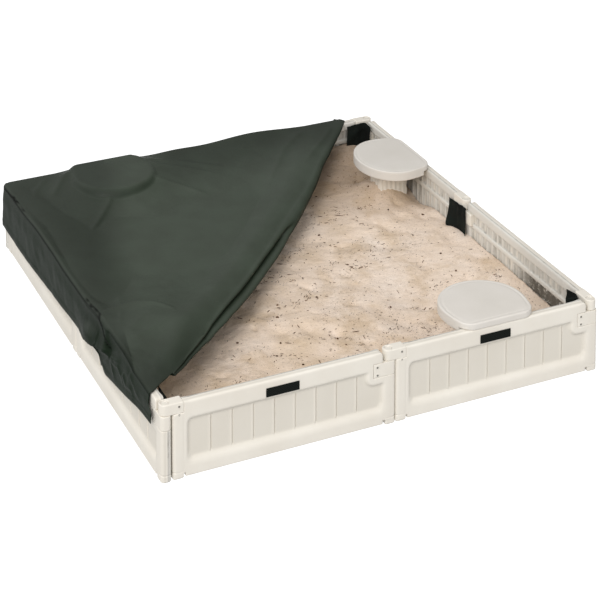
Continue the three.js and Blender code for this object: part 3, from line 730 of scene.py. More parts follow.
def build_walls():
    pin, screw = pin_mesh(), screw_mesh()
    upper, lower = knuckle_meshes()
    pieces = (                                         # piece, frame node, mesh, skin, slot
        ("panel_shell", "panel", panel_mesh(), PANEL_SKIN, "panel_plastic"),
        ("knuckle_top", "upper_knuckle", upper, KNUCKLE_SKIN, "knuckle_plastic"),
        ("knuckle_low", "lower_knuckle", lower, KNUCKLE_SKIN, "knuckle_plastic"),
        ("hook_pad", "hook_patch", patch_mesh(), PATCH_SKIN, "hook_patch"),
    )
    screws = [(SCREW_X[0], z) for z in UPPER_SCREWS] + [(PITCH - SCREW_X[1], z) for z in LOWER_SCREWS]
    for turn, (left, right, corner, middle) in enumerate(WALLS):
        for name, start, pin_name in ((left, -PITCH, corner), (right, 0.0, middle)):
            place = wall_place(turn, start)
            for piece, node, mesh, skin, slot in pieces:
                add(f"{piece}_{name}", mesh, "frame", skin, place, (f"{node}_{name}",))
            add(f"pin_{name}", pin, f"pin_{pin_name}", PIN_SKIN, place,
                (f"hinge_pin_{pin_name}",))
            for index, (x, z) in enumerate(screws):
                turn_it = Matrix.Rotation(random.uniform(0, math.pi), 4, "Y")
                at = place @ Matrix.Translation((x * MM, OUTER * MM + SCREW_SUNK, z * MM)) @ turn_it
                add(f"screw_{name}_{index + 1}", screw, "frame", SCREW_SKIN, at)


# ---- Seats

SEAT_HALF = 114.5                                      # half width at the widest place
SEAT_BASE_HALF = 95.0                                  # and at the straight side over the rail
SEAT_OUTER = -16.0
SEAT_WIDEST = 72.0
SEAT_END = 172.0
SEAT_TOP = 202.0
SEAT_SKIRT = 173.0
SKIRT_START = 12.0
SEAT_NUDGE = {"right_back": (3.0, 11.5)}               # this one sits a little inboard on its rail
LEG_HALF = 32.0
LEG_Y = (22.0, 118.0)
LEG_BOTTOM = 5.0
CORRUGATION = 15.0


def seat_outline(x, y, inset=0.0):
    """Signed distance, roughly, to the D of the seat; the straight side lies over the rail."""
    a = SEAT_HALF - inset
    inner = SEAT_END - inset - SEAT_WIDEST
    oval = (np.hypot(x / a, (y - SEAT_WIDEST) / inner) - 1) * np.minimum(a, inner)
    outer = SEAT_WIDEST - SEAT_OUTER - inset
    t = np.clip((SEAT_WIDEST - y) / outer, 0, 1)
    half = a - (SEAT_HALF - SEAT_BASE_HALF) * t ** 1.9
    base = rounded(np.abs(x) - half, SEAT_OUTER + inset - y, 25)
    return np.where(y > SEAT_WIDEST, oval, base)


def seat_field(x, y, z):
    """The seat: a shallow tray turned upside down, notched where it sits on the rail."""
    outline = seat_outline(x, y)
    crown = 0.8 * (1 - np.clip((x / SEAT_HALF) ** 2, 0, 1)) - 1.3 * bump(outline, -9.0, 2.0)
    body = rounded(outline, np.maximum(z - SEAT_TOP + 0.8 - crown, SEAT_SKIRT - z), 3.4)
    notch = rounded(y - SKIRT_START, z - RAIL_TOP - 0.6, 1.5)
    body = smooth_cut(body, notch, 1.5)
    under = np.maximum(seat_outline(x, y, 5.0), z - SEAT_TOP + 8)
    under = np.maximum(under, SKIRT_START + 4 - y)
    return smooth_cut(body, under, 1.5)


def leg_field(x, y, z):
    """A corrugated hollow box, open towards the wall."""
    wave = 0.9 * np.cos(2 * math.pi * (x + y) / CORRUGATION) + 0.8 * np.cos(z / 7 + x / 4) * np.cos(x / 9)
    taper = 0.02 * (SEAT_SKIRT - z)
    walls = rectangle(x, y, -LEG_HALF, LEG_HALF, *LEG_Y, 8) + wave + taper
    body = slab(walls, z, LEG_BOTTOM, SEAT_TOP - 9, 2)
    hollow = rectangle(x, y, -LEG_HALF + 6, LEG_HALF - 6, -10, LEG_Y[1] - 6, 6)
    return smooth_cut(body, np.maximum(hollow, z - SEAT_TOP + 14), 1.5)


def build_seats():
    seat = field_mesh("seat", seat_field, (
        lines(-SEAT_HALF, SEAT_HALF, 3.0),
        lines(SEAT_OUTER, SEAT_END, 3.0, (OUTER,), 1.5, 4),
        lines(SEAT_SKIRT, SEAT_TOP, 1.6),
    ))
    leg = field_mesh("seat_leg", leg_field, (
        lines(-LEG_HALF, LEG_HALF, 2.2), lines(*LEG_Y, 2.2), lines(LEG_BOTTOM, SEAT_TOP - 9, 4.0),
    ))
    for turn, (_, right, _, _) in enumerate(WALLS):
        low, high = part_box(f"seat_{right}")
        middle = (low + high) / 2
        along = Matrix.Rotation(-turn * math.pi / 2, 4, "Z") @ middle
        aside, inboard = SEAT_NUDGE.get(right, (0.0, 0.0))
        place = wall_place(turn, along.x / MM + aside) @ Matrix.Translation((0, inboard * MM, 0))
        body = f"seat_{right}"
        add(f"seat_top_{right}", seat, body, SEAT_SKIN, place, (f"seat_{right}",))
        add(f"seat_stem_{right}", leg, body, KNUCKLE_SKIN, place, (f"seat_leg_{right}",))


# ---- Sand and what lies in it

def cloud(x, y, size, seed):
    """Smooth random hills, from -1 to 1, about size mm across."""
    count = 64
    grid = np.random.default_rng(seed).uniform(-1, 1, (count, count))
    u, v = np.asarray(x) / size + 300.37, np.asarray(y) / size + 300.71
    i, j = np.floor(u).astype(int), np.floor(v).astype(int)
    u, v = step_to(u - i, 0, 1), step_to(v - j, 0, 1)
    i, j, i1, j1 = i % count, j % count, (i + 1) % count, (j + 1) % count
    low = grid[i, j] * (1 - u) + grid[i1, j] * u
    high = grid[i, j1] * (1 - u) + grid[i1, j1] * u
    return low * (1 - v) + high * v


SAND_HALF = PITCH - INNER + 2.5
SAND_LEVEL = 83.0
SAND_CELL = 4.0


def hollows():
    """Trodden hollows: x, y, size, aspect, turn and depth of each."""
    chance = random.Random(11)
    ranges = ((-520, 560), (-560, 520), (16, 46), (0.4, 1.0), (0, math.pi), (2.0, 6.5))
    return [[chance.uniform(*limits) for limits in ranges] for _ in range(150)]


HOLLOWS = hollows()
# Heaps against the walls and seat legs, and a dip: x, y, reach, rise.
HEAPS = ((470, 610, 175, 36), (475, 308, 66, 40), (602, 250, 56, -26), (590, 30, 80, 9), (575, -150, 120, 5))


def sand_height(x, y):
    """Level sand with broad swells, trodden hollows and small loose lumps."""
    x, y = np.asarray(x, float), np.asarray(y, float)
    u, v = x / PITCH, y / PITCH
    height = SAND_LEVEL + 5 * np.sin(2.6 * u + 0.8) * np.cos(2.3 * v - 0.5)
    height = height + 3.2 * cloud(x, y, 150, 1) + 2.6 * cloud(x, y, 70, 2)
    height = height + 1.5 * cloud(x * 0.8, y * 1.2, 33, 3) + 0.8 * cloud(x, y, 14, 4)
    for cx, cy, reach, rise in HEAPS:
        height = height + rise * np.exp(-((x - cx) ** 2 + (y - cy) ** 2) / reach ** 2)
    for cx, cy, size, aspect, turn, depth in HOLLOWS:
        du, dv = x - cx, y - cy
        a = (du * math.cos(turn) + dv * math.sin(turn)) / size
        b = (dv * math.cos(turn) - du * math.sin(turn)) / (size * aspect)
        r2 = a * a + b * b
        height = height - depth * (1 - 0.55 * r2) * np.exp(-r2)
    return height


def numbered(rows, columns, first=0):
    """A grid of point numbers."""
    return first + np.arange(rows * columns).reshape(rows, columns)


def grid_quads(index):
    """The quads between the points of a numbered grid."""
    return np.stack([index[:-1, :-1], index[1:, :-1], index[1:, 1:], index[:-1, 1:]], -1).reshape(-1, 4)


def grid_block(name, line, top, bottom):
    """A closed square block, its top a grid of heights along line both ways, its floor flat."""
    gx, gy = np.meshgrid(line, line, indexing="ij")
    upper = np.stack([gx, gy, top(gx, gy)], -1).reshape(-1, 3)
    index = numbered(*gx.shape)
    ring = np.concatenate([index[:, 0], index[-1, 1:], index[-2::-1, -1], index[0, -2:0:-1]])
    floor = upper[ring].copy()
    floor[:, 2] = bottom
    low = len(upper) + np.arange(len(ring))
    sides = np.stack([ring, low, np.roll(low, -1), np.roll(ring, -1)], 1)
    faces = np.concatenate([grid_quads(index), sides]).tolist() + [low[::-1].tolist()]
    return mixed_mesh(name, np.concatenate([upper, floor]).tolist(), faces)


# Spindle sections: place along the length, and share of the full thickness.
SPINDLE = ((-0.42, 0.55), (-0.1, 1.0), (0.25, 0.85), (0.45, 0.45))


def bits_mesh(name, bits, sides=6):
    """Many small closed spindles in one mesh. Each bit is (middle, direction, length, thickness)."""
    points, faces = [], []
    for middle, direction, length, thick in bits:
        middle, direction = Vector(middle), Vector(direction).normalized()
        side = direction.orthogonal().normalized()
        other = direction.cross(side)
        faces += round_faces(len(points), len(SPINDLE), sides)
        points.append(middle + direction * -0.5 * length)
        for s, r in SPINDLE:
            for i in range(sides):
                turn = 2 * math.pi * i / sides
                out = side * math.cos(turn) + other * math.sin(turn)
                points.append(middle + direction * s * length + out * r * thick / 2)
        points.append(middle + direction * 0.5 * length)
    return mixed_mesh(name, points, faces)


BITS = 1700                                            # scraps in all
DRIFT_SHARE, TRAIL_SHARE = 0.34, 0.62                  # up to each of these shares, then strewn
LUMP_SHARE = 0.012


def debris():
    """Bark and twig scraps in drifts, in trails and strewn, over the open half of the sand."""
    chance = random.Random(23)
    drifts = [
        (chance.uniform(-420, 560), chance.uniform(-560, 420), chance.uniform(30, 90))
        for _ in range(22)
    ]
    trails = [
        (chance.uniform(-300, 560), chance.uniform(-560, 400), chance.gauss(0.2, 0.5),
         chance.uniform(40, 150), chance.uniform(-0.006, 0.006))
        for _ in range(34)
    ]
    bits = []
    while len(bits) < BITS:
        kind = chance.random()
        turn = chance.gauss(0.3, 0.75)
        if kind < DRIFT_SHARE:
            cx, cy, reach = chance.choice(drifts)
            x, y = chance.gauss(cx, reach), chance.gauss(cy, reach * 0.6)
        elif kind < TRAIL_SHARE:
            cx, cy, heading, reach, bend = chance.choice(trails)
            gone = chance.uniform(0, reach)
            heading = heading + bend * gone
            x = cx + gone * math.cos(heading) + chance.gauss(0, 7)
            y = cy + gone * math.sin(heading) + chance.gauss(0, 5)
            turn = heading + chance.gauss(0, 0.6)
        else:
            x, y = chance.uniform(-560, 570), chance.uniform(-570, 570)
        if abs(x) > 568 or abs(y) > 568 or y > x + 90:
            continue
        length = min(26, 1.8 + chance.expovariate(1 / 3.3))
        thick = chance.uniform(0.8, 1.8) + length * 0.04
        if chance.random() < LUMP_SHARE:
            length, thick = chance.uniform(6, 11), chance.uniform(4, 6)
        z = float(sand_height(x, y)) + 0.12 * thick
        bits.append(((x, y, z), (math.cos(turn), math.sin(turn), chance.gauss(0, 0.18)), length, thick))
    return bits


def build_sand():
    xs = np.arange(-SAND_HALF, SAND_HALF + 0.01, 2 * SAND_HALF / round(2 * SAND_HALF / SAND_CELL))
    block = grid_block("sand", xs, sand_height, SAND_LOW[2])
    add("sand_bed", block, "frame", SAND_SKIN, None, ("sand_fill",))
    add("sand_scraps", bits_mesh("sand_scraps", debris()), "frame", DEBRIS_SKIN)


# ---- Cloth helpers

def sheet_object(name, points, quads, thickness, skin, body, replaces=(), shade=None):
    """A closed cloth sheet, thickness mm thick, from one open surface given in mm."""
    mesh = mesh_from(name, points * MM, quads)
    if shade is not None:
        mesh.attributes.new("shade", "FLOAT", "POINT").data.foreach_set("value", shade)
    thing = linked(name, mesh)
    solid = thing.modifiers.new("thickness", "SOLIDIFY")
    solid.thickness = thickness * MM
    solid.offset = 0
    solid.use_rim = True
    bpy.context.view_layer.update()
    seen = thing.evaluated_get(bpy.context.evaluated_depsgraph_get())
    thick = bpy.data.meshes.new_from_object(seen)
    thick.name = name
    bpy.data.objects.remove(thing)
    thick.materials.clear()
    return add(name, thick, body, skin, None, replaces)


# ---- Ground liner: the sheet below the sand, and its tabs at the joints

TAB_CELL = 3.0
TAB_FOOT = 58.0                                        # below the sand
TAB_SHEET = 1.6
TAB_SPAN, TAB_TOPS = (-27, 62), (148, 166, 166, 166)   # tabs at the middle joints
TAB_LUMPS = (3.0, 13.0, 3.0, 3.0)                      # the right one holds a lump of sand
CORNER_TABS = (                                        # name, from, to, top, rise of its first half
    ("front_left", -62, 42, 166, 9.0), ("front_right", -36, 50, 183, 0.0),
    ("back_right", -40, 58, 179, 0.0), ("back_left", -50, 42, 172, 0.0),
)


def round_corner(along, inwards):
    """Bends a tab round a corner of the box: past the corner, along turns into inwards."""
    x = np.where(along < 0, inwards, along + inwards)
    y = np.where(along < 0, inwards - along, inwards)
    soft = np.exp(-np.abs(along) / 7.0) * 4.0
    return x + soft, y + soft


def tab(name, turn, x0, x1, top, seed, lump=0.0, corner=False, rise=0.0):
    """A crumpled tab on the inside of a wall, or of two where it wraps round a corner."""
    columns = max(4, int((x1 - x0) / TAB_CELL))
    rows = int((top - TAB_FOOT) / TAB_CELL)
    s, t = np.meshgrid(np.linspace(0, 1, columns), np.linspace(0, 1, rows), indexing="ij")
    along = x0 + (x1 - x0) * s
    z = TAB_FOOT + (top - TAB_FOOT) * t
    ragged = 3.5 * cloud(along, z * 0, 30, seed) - 5 * (s - 0.5) + rise * (1 - step_to(s, 0.42, 0.56))
    z = z + ragged * t
    wander = 3 * cloud(along * 0, z, 35, seed + 1) + 4 * cloud(along, z, 60, seed + 2)
    along = along + wander * (0.3 + 0.7 * (1 - t))
    out = 3.0 + 2.6 * cloud(along, z * 0.35, 13, seed + 3) + 2.2 * cloud(along + z, z, 24, seed + 4)
    swell = lump * bump(s, 0.86, 0.2) * bump(z, 96, 17)
    out = out + 2.0 * (1 - t) + swell
    along = along + 0.3 * swell
    inwards = PITCH - TAB_EDGE + out
    x, y = round_corner(along, inwards) if corner else (along, inwards)
    points = np.stack([x - PITCH * corner, y - PITCH, z], -1).reshape(-1, 3)
    spin = np.array(Matrix.Rotation(turn * math.pi / 2, 3, "Z"))
    quads = grid_quads(numbered(columns, rows))
    sheet_object(name, points @ spin.T, quads, TAB_SHEET, LINER_SKIN, "frame")


def liner_threads():
    """Loose threads on the tab at the right joint."""
    chance = random.Random(5)
    threads = []
    for _ in range(14):
        y, z = chance.uniform(-26, -2), chance.uniform(68, 84)
        at = (TAB_EDGE - chance.uniform(2, 12), y, z)
        heading = (chance.uniform(-0.6, 0.2), chance.uniform(-1, 0.2), -1.0)
        threads.append((at, heading, chance.uniform(10, 26), 0.9))
    return threads


def build_liner():
    line = np.linspace(-TAB_EDGE, TAB_EDGE, 60)
    under = grid_block("ground_sheet", line, lambda x, y: 2.3 + 0.35 * cloud(x, y, 60, 41), LINER_LOW[2])
    add("ground_sheet", under, "frame", LINER_SKIN, None, ("ground_liner",))
    for turn, (side, (corner, x0, x1, top, rise)) in enumerate(zip(SIDES, CORNER_TABS)):
        tab(f"liner_tab_{side}", turn, *TAB_SPAN, TAB_TOPS[turn], 50 + 10 * turn, TAB_LUMPS[turn])
        tab(f"liner_tab_{corner}_corner", turn, x0, x1, top, 90 + 10 * turn, 0.0, True, rise)
    add("liner_threads", bits_mesh("liner_threads", liner_threads()), "frame", LINER_SKIN)


# ---- Cover: one cloth sheet, stretched over the rails and two seats, its open half folded under

COVER_OUT = -COVER_LOW[0] - 1.0                        # outer face of the hanging skirts
EDGE_R = 8.0                                           # rounding where the top turns down
SHEET = 1.2
REST = HEIGHT + 2.6                                    # the sheet's middle above the rails
OVER_SEAT = SEAT_TOP + 1.6
FOLD_START = (-526.0, -488.0)                          # where the folded edge leaves the front
FOLD_END = (504.0, PITCH + 13.0)                       # and where it reaches the back rail
PINCH = (-296.0, 155.0)                                # y and z where a patch holds the skirt
TOP_ROWS, TOP_COLUMNS = 270, 180
MEMBRANE_CELL = 10.0
COVER_FRONT = -540.0                                   # where the left edge of the top begins
LEFT_EDGE = (                                          # y, height above the rest level
    (-640, 0.0), (-540, 0.6), (-450, 2.0), (-395, 14.0), (-345, 16.4), (-292, 16.6),
    (-230, 16.4), (-185, 13.0), (-120, 5.0), (-60, 3.0), (60, 3.0), (150, 8.0), (290, 9.5),
    (400, 2.0), (446, 0.0), (552, 0.0), (640, -5.0),
)
LEFT_SEAM = (                                          # y, height
    (-295, 166), (-262, 183), (-232, 198), (-204, 204), (-135, 197), (-5, 200), (146, 206), (294, 207),
    (446, 191), (552, 185), (600, 183),
)
VALLEY = ((-300, 560), (-342, 411), (-415, 222), (-490, 24), (-548, -163), (-575, -300))
TOP_FOLDS = (                                          # path, left and right flank, height
    (((-330, 440), (-352, 390), (-425, 300), (-505, 205)), 9, 15, 6.0),
    (VALLEY, 190, 130, -17.0),
    (((-395, 590), (-440, 545), (-505, 460)), 10, 14, 5.0),
    (((-470, 590), (-530, 520), (-570, 430)), 12, 12, 3.5),
    (((-180, 570), (-75, 528), (55, 460)), 8, 11, 3.2),
    (((-190, 545), (-80, 495), (20, 430)), 6, 9, 2.2),
    (((-205, 466), (-122, 404), (-55, 335)), 7, 10, 3.4),
    (((-160, 596), (20, 570), (200, 520)), 10, 8, 2.6),
    (((380, 590), (252, 492), (84, 285)), 16, 24, 4.5),
    (((470, 585), (390, 500), (250, 370)), 9, 16, 3.0),
    (((-585, -330), (-480, -240), (-330, -90)), 18, 26, 2.6),
    (((-590, -350), (-520, -330), (-400, -270)), 12, 16, 2.4),
    (((-585, -300), (-540, -190), (-500, -60)), 12, 14, 2.6),
    (((-300, 470), (-220, 180), (-250, -60)), 60, 60, 2.5),
)
SKIRT_ROWS = 34
TURN_ROWS = 6                                          # of those, the rows round the top edge
HEM, HEM_ROW = 16.0, -4                                # the hem's height, and the row its stitches follow
THREAD_LIFT = 0.8
SEAM_SPAN, SEAM_LIFT, SEAM_THICK = (-292.0, 580.0), 0.9, 1.9
PUCKERS = (                                            # path in y and z, flanks, height
    (((-297, 156), (-250, 143), (-200, 129), (-125, 112), (-30, 100)), 34, 3.5, 15.0),
    (((-294, 150), (-252, 134), (-205, 119), (-155, 108)), 3, 3, 5.0),
    (((-296, 146), (-272, 122), (-240, 100)), 5, 4, 3.0),
    (((-298, 150), (-316, 151), (-345, 160), (-372, 168)), 4, 5, 4.0),
    (((-300, 146), (-325, 143), (-352, 150), (-376, 136), (-386, 110)), 4, 6, 4.5),
    (((-298, 142), (-312, 126), (-330, 104)), 5, 6, 3.5),
    (((-380, 150), (-405, 132), (-430, 140), (-452, 122)), 5, 7, 3.5),
    (((-300, 160), (-330, 178), (-372, 190)), 7, 8, 1.5),
    (((-420, 172), (-460, 150), (-500, 138)), 8, 10, 2.6),
)


def through(places, v):
    """A smooth height profile through (position, value) places."""
    at, value = np.array(sorted(places), float).T
    index = np.clip(np.searchsorted(at, v) - 1, 0, len(at) - 2)
    part = step_to(v, at[index], at[index + 1])
    return value[index] * (1 - part) + value[index + 1] * part


def fold_width(t):
    """How far the folded-under layer shows beyond the top layer's edge."""
    return 8 + 20 * step_to(t, 0.07, 0.22) * (1 - 0.7 * step_to(t, 0.52, 0.80))


def fold_plan(t):
    """Plan of the top layer's edge, from its front end to its back end."""
    (x0, y0), (x1, y1) = FOLD_START, FOLD_END
    x, y = x0 + (x1 - x0) * t, y0 + (y1 - y0) * t
    arch = np.sin(math.pi * np.clip(t, 0, 1))
    bow = 9 + 36.5 * arch ** 0.9 - 6 * bump(t, 0.82, 0.08) - fold_width(t)
    return x + bow * 0.707, y - bow * 0.707


def fold_height(t):
    sag = 15 * np.sin(math.pi * np.clip(t, 0, 1)) ** 1.3
    return REST + 0.6 - sag


def left_edge_height(y):
    """Height of the outer top edge along the left wall."""
    return REST + through(LEFT_EDGE, y)


def back_edge_height(x):
    """Height of the outer top edge along the back wall."""
    over_seat = bump(x, -PITCH / 2, 105)
    swell = bump(x, 190, 130)
    return REST - 1.0 + 9 * over_seat + 12.5 * swell + 5 * bump(x, -60, 70) - 5.0 * step_to(-x, 480, 600)


def seat_distances(x, y):
    """Distances outside the outlines of the two covered seats, left and back; below 0 inside."""
    return seat_outline(-(y + PITCH / 2), x + PITCH), seat_outline(-(x + PITCH / 2), PITCH - y)


def membrane():
    """Heights of a sheet stretched between rails, seats and folded edge, by relaxation."""
    count = int(2 * (PITCH + 15) / MEMBRANE_CELL) + 1
    axis = np.linspace(-PITCH - 15, PITCH + 15, count)
    x, y = np.meshgrid(axis, axis, indexing="ij")
    t = np.clip(((x + y) - sum(FOLD_START)) / (sum(FOLD_END) - sum(FOLD_START)), 0, 1)
    fx, fy = fold_plan(t)
    beyond = ((x - fx) - (y - fy)) > 0
    held = np.where(beyond, fold_height(t), 0.0)
    held = np.where(x <= axis[0] + 1, left_edge_height(y), held)
    held = np.where(y >= axis[-1] - 1, back_edge_height(x), held)
    fixed = held > 0
    left_seat, back_seat = seat_distances(x, y)
    mound = OVER_SEAT + 4.0 + 6.0 * np.clip(-left_seat / 90, 0, 1)
    floor = np.where(back_seat < 0, OVER_SEAT + 1.0, np.where(left_seat < 0, mound, 0.0))
    floor = np.maximum(floor, np.where(np.minimum(x + PITCH, PITCH - y) < 10, REST, 0.0))
    z = np.where(fixed, held, REST)
    load = 0.004 + 0.020 * step_to(y + 0.3 * x, -330, 60)
    for _ in range(2600):
        mean = z.copy()
        mean[1:-1, 1:-1] = (z[:-2, 1:-1] + z[2:, 1:-1] + z[1:-1, :-2] + z[1:-1, 2:]) / 4 - load[1:-1, 1:-1]
        z = np.where(fixed, held, np.maximum(mean, floor))
    return axis, z


def sample(axis, values, x, y):
    """Smooth lookup in a square table of values."""
    step = axis[1] - axis[0]
    u = np.clip((x - axis[0]) / step, 0, len(axis) - 1.001)
    v = np.clip((y - axis[0]) / step, 0, len(axis) - 1.001)
    i, j = u.astype(int), v.astype(int)
    u, v = u - i, v - j
    low = values[i, j] * (1 - u) + values[i + 1, j] * u
    high = values[i, j + 1] * (1 - u) + values[i + 1, j + 1] * u
    return low * (1 - v) + high * v


def path_distance(x, y, path):
    """Signed distance from a line of points, and the part of it travelled, from 0 to 1."""
    lengths = [math.dist(a, b) for a, b in zip(path, path[1:])]
    best, signed, part, done = None, 0.0, 0.0, 0.0
    for (ax, ay), (bx, by), length in zip(path, path[1:], lengths):
        dx, dy = (bx - ax) / length, (by - ay) / length
        t = np.clip((x - ax) * dx + (y - ay) * dy, 0, length)
        ox, oy = x - ax - dx * t, y - ay - dy * t
        far = np.hypot(ox, oy)
        side = np.where(dx * oy - dy * ox > 0, 1.0, -1.0)
        nearer = far < best if best is not None else np.full(np.shape(far), True)
        best = np.where(nearer, far, best if best is not None else 0)
        signed = np.where(nearer, far * side, signed)
        part = np.where(nearer, (done + t) / sum(lengths), part)
        done += length
    return signed, part


def crease(x, y, path, left, right, height):
    """A fold along a path, its crest crisp; left and right are the widths of its flanks."""
    across, part = path_distance(x, y, path)
    width = np.where(across > 0, left, right)
    crest = 0.22 * np.minimum(left, right)
    fade = step_to(part, 0.0, 0.18) * (1 - step_to(part, 0.7, 1.0))
    return height * fade * np.exp(-(np.sqrt(across ** 2 + crest ** 2) - crest) / width)


def top_wrinkles(x, y):
    """Height that creases and slight waves add to the stretched cloth."""
    height = sum(crease(x, y, *fold) for fold in TOP_FOLDS)
    near = np.hypot(x + PITCH / 2, y - PITCH + SEAT_END)
    height = height + 1.6 * cloud(x, y, 120, 61) * step_to(near, 60, 200)
    height = height + 2.2 * cloud(x, y * 1.4, 24, 64) * bump(x, -PITCH, 34)
    return height + 0.6 * cloud(x, y, 42, 62) + 0.25 * cloud(x, y, 17, 63)


def ease_over_seats(z, off_left, off_back):
    """Smooths the heights a little everywhere and much more beside the covered seats."""
    over_left = (1 - step_to(off_left, 60, 160))[1:-1, 1:-1]
    over_back = (1 - step_to(off_back, 40, 90))[1:-1, 1:-1]
    for index in range(260):
        soft = 1.0 if index < 3 else np.maximum(over_left, over_back * (index < 22))
        mean = (z[:-2, 1:-1] + z[2:, 1:-1] + z[1:-1, :-2] + z[1:-1, 2:]) / 4
        z[1:-1, 1:-1] += (mean - z[1:-1, 1:-1]) * soft


def cover_top():
    """Grid of the stretched part: rows run from the left rail to the folded edge."""
    axis, heights = membrane()
    a, b = np.meshgrid(np.linspace(0, 1, TOP_ROWS), np.linspace(0, 1, TOP_COLUMNS), indexing="ij")
    left_x, back_y = EDGE_R - COVER_OUT, COVER_OUT - EDGE_R
    fx, fy = fold_plan(a)
    fy = np.where(a > 0.9, fy + (back_y - FOLD_END[1]) * step_to(a, 0.9, 1), fy)
    ly = COVER_FRONT + (back_y - COVER_FRONT) * a
    x = left_x + (fx - left_x) * b
    y = ly + (fy - ly) * b
    z = sample(axis, heights, x, y)
    off_left, off_back = seat_distances(x, y)
    ease_over_seats(z, off_left, off_back)
    inset = np.minimum(x - left_x, back_y - y)
    fold_gap = (1 - b) * (fx - left_x) / math.sqrt(2)
    arch = np.sin(math.pi * a)
    roll = 11.0 * bump(fold_gap, 54, 36) * arch ** 0.6
    z = z + (top_wrinkles(x, y) + roll) * step_to(inset, 0, 40) - 4.5 * bump(fold_gap, 0, 16) * arch
    z = np.maximum(z, OVER_SEAT - 60 * step_to(off_back, -2, 60))
    z = np.maximum(z, OVER_SEAT + 0.8 - 60 * step_to(off_left, -2, 60))
    z = np.maximum(z, REST + 0.6 - 24 * step_to(inset, 18, 190))
    return np.stack([x, y, z], -1), a[:, 0]


def fold_section(t):
    """Section of the folded edge at t: offsets outward and down from the top sheet's edge."""
    groove = step_to(t, -0.02, 0.05) * (1 - step_to(t, 0.44, 0.60))
    depth = 4.5 + 21 * np.sin(math.pi * np.clip(t, 0, 1)) ** 0.7
    deep = np.array([
        (0.12, 0.02), (0.24, 0.08), (0.30, 0.18), (0.24, 0.30), (0.02, 0.40), (-0.28, 0.48), (-0.50, 0.55),
        (-0.45, 0.61), (-0.18, 0.62), (0.14, 0.63), (0.48, 0.66), (0.78, 0.71), (0.95, 0.80), (1.00, 0.90),
        (0.95, 1.00), (0.80, 1.05), (0.50, 1.10), (0.0, 1.14), (-0.7, 1.18), (-1.5, 1.2),
    ])
    plain = np.array([
        (0.16, 0.02), (0.32, 0.06), (0.47, 0.11), (0.60, 0.17), (0.71, 0.24), (0.80, 0.31), (0.87, 0.38),
        (0.92, 0.45), (0.96, 0.52), (0.99, 0.59), (1.00, 0.66), (0.99, 0.73), (0.96, 0.80), (0.90, 0.87),
        (0.80, 0.94), (0.66, 1.00), (0.40, 1.07), (0.0, 1.12), (-0.7, 1.18), (-1.5, 1.2),
    ])
    shape = plain + (deep - plain) * groove
    return shape[:, 0] * fold_width(t), shape[:, 1] * depth


def cover_fold(edge, ts):
    """The rows beyond the folded edge: over it, under it and back below the top sheet."""
    out = np.array((1, -1)) / math.sqrt(2)
    rows = []
    for point, t in zip(edge, ts):
        off, down = fold_section(t)
        ripple = 1.2 * cloud(point[0] + off * 0, point[1] + off * 2, 55, 71)
        off = off + ripple * np.clip(off / 10, 0, 1)
        x, y = point[0] + off * out[0], point[1] + off * out[1]
        from_wall = np.minimum(PITCH + y, PITCH - y)
        rest = HEIGHT + 0.8 - 45 * step_to(from_wall, 12, 75)
        rows.append(np.stack([x, y, np.maximum(point[2] - down, rest)], -1))
    return np.stack(rows)


def hem_height(s, y, x):
    """Lower edge of the skirt: s is -1 on the left wall and +1 on the back wall."""
    left = 70 + 34 * step_to(-y, -480, 260) ** 1.1
    flap = 76 + 51 * np.clip((-y - 245) / 300, 0, 1) ** 0.9
    left = np.where(y > -225, left, flap)
    notch = 14 * bump(y, -236, 14)
    back = 71 + 10 * step_to(x, -560, 200) + 48 * step_to(x, 240, 520)
    return np.where(s < 0, left + notch, back)


def cover_skirt(border, side):
    """Rows hanging from the outer edge of the top; border runs up the left, then along the back."""
    tangent = np.gradient(border[:, :2], axis=0)
    tangent /= np.linalg.norm(tangent, axis=1)[:, None]
    normal = np.stack([-tangent[:, 1], tangent[:, 0]], -1)
    x, y, z = border.T
    drop = z - EDGE_R - hem_height(side, y, x)
    along = np.concatenate([[0], np.cumsum(np.linalg.norm(np.diff(border[:, :2], axis=0), axis=1))])
    on_left = side < 0
    rows = []
    for k in range(1, SKIRT_ROWS + 1):
        turn = min(1.0, k / TURN_ROWS) * math.pi / 2
        part = max(0.0, (k - TURN_ROWS) / (SKIRT_ROWS - TURN_ROWS))
        out = EDGE_R * math.sin(turn)
        down = EDGE_R * (1 - math.cos(turn)) + drop * part
        level = z - down
        puckers = pinch_folds(y, level) * on_left
        folds = 1.5 * cloud(along, down * 0.5, 90, 81) + 0.9 * cloud(along + down * 0.4, down, 30, 82)
        hang = 2.2 + folds + 2.0 * part
        over_seat = on_left * bump(y, -PITCH / 2, 130)
        hang = np.maximum(hang * (0.15 + 0.85 * step_to(part, 0, 0.4)), 0.2 + 1.3 * over_seat)
        lifted = on_left * bump(y, -165, 62)
        hang = hang + lifted * (9 * bump(part, 0.60, 0.26) - 3.5 * step_to(part, 0.8, 1.0))
        hem = 0.9 * (drop * (1 - part) < HEM)
        offset = out + (hang + puckers) * min(1.0, k / TURN_ROWS) + hem
        offset = np.maximum(offset, out * 0.9)
        forward = -21 * bump(y, -545, 45) * step_to(part, 0.3, 0.62) * on_left
        rows.append(np.stack([x + normal[:, 0] * offset, y + normal[:, 1] * offset + forward, level], -1))
    return np.stack(rows, 1)


def pinch_folds(y, z):
    """Creases gathered towards the patch that holds the skirt against the wall."""
    far = np.hypot(y - PINCH[0], z - PINCH[1])
    pull = -1.2 * np.exp(-(far / 18) ** 2)
    creases = 0.0
    for path, left, right, height in PUCKERS:
        across, part = path_distance(y, z, path)
        width = np.where(across > 0, left, right)
        fade = step_to(part, 0.0, 0.08) * (1 - step_to(part, 0.55, 1.0))
        creases = creases + height * fade * np.exp(-(np.sqrt(across ** 2 + 2) - 1.4) / width)
    return pull + creases


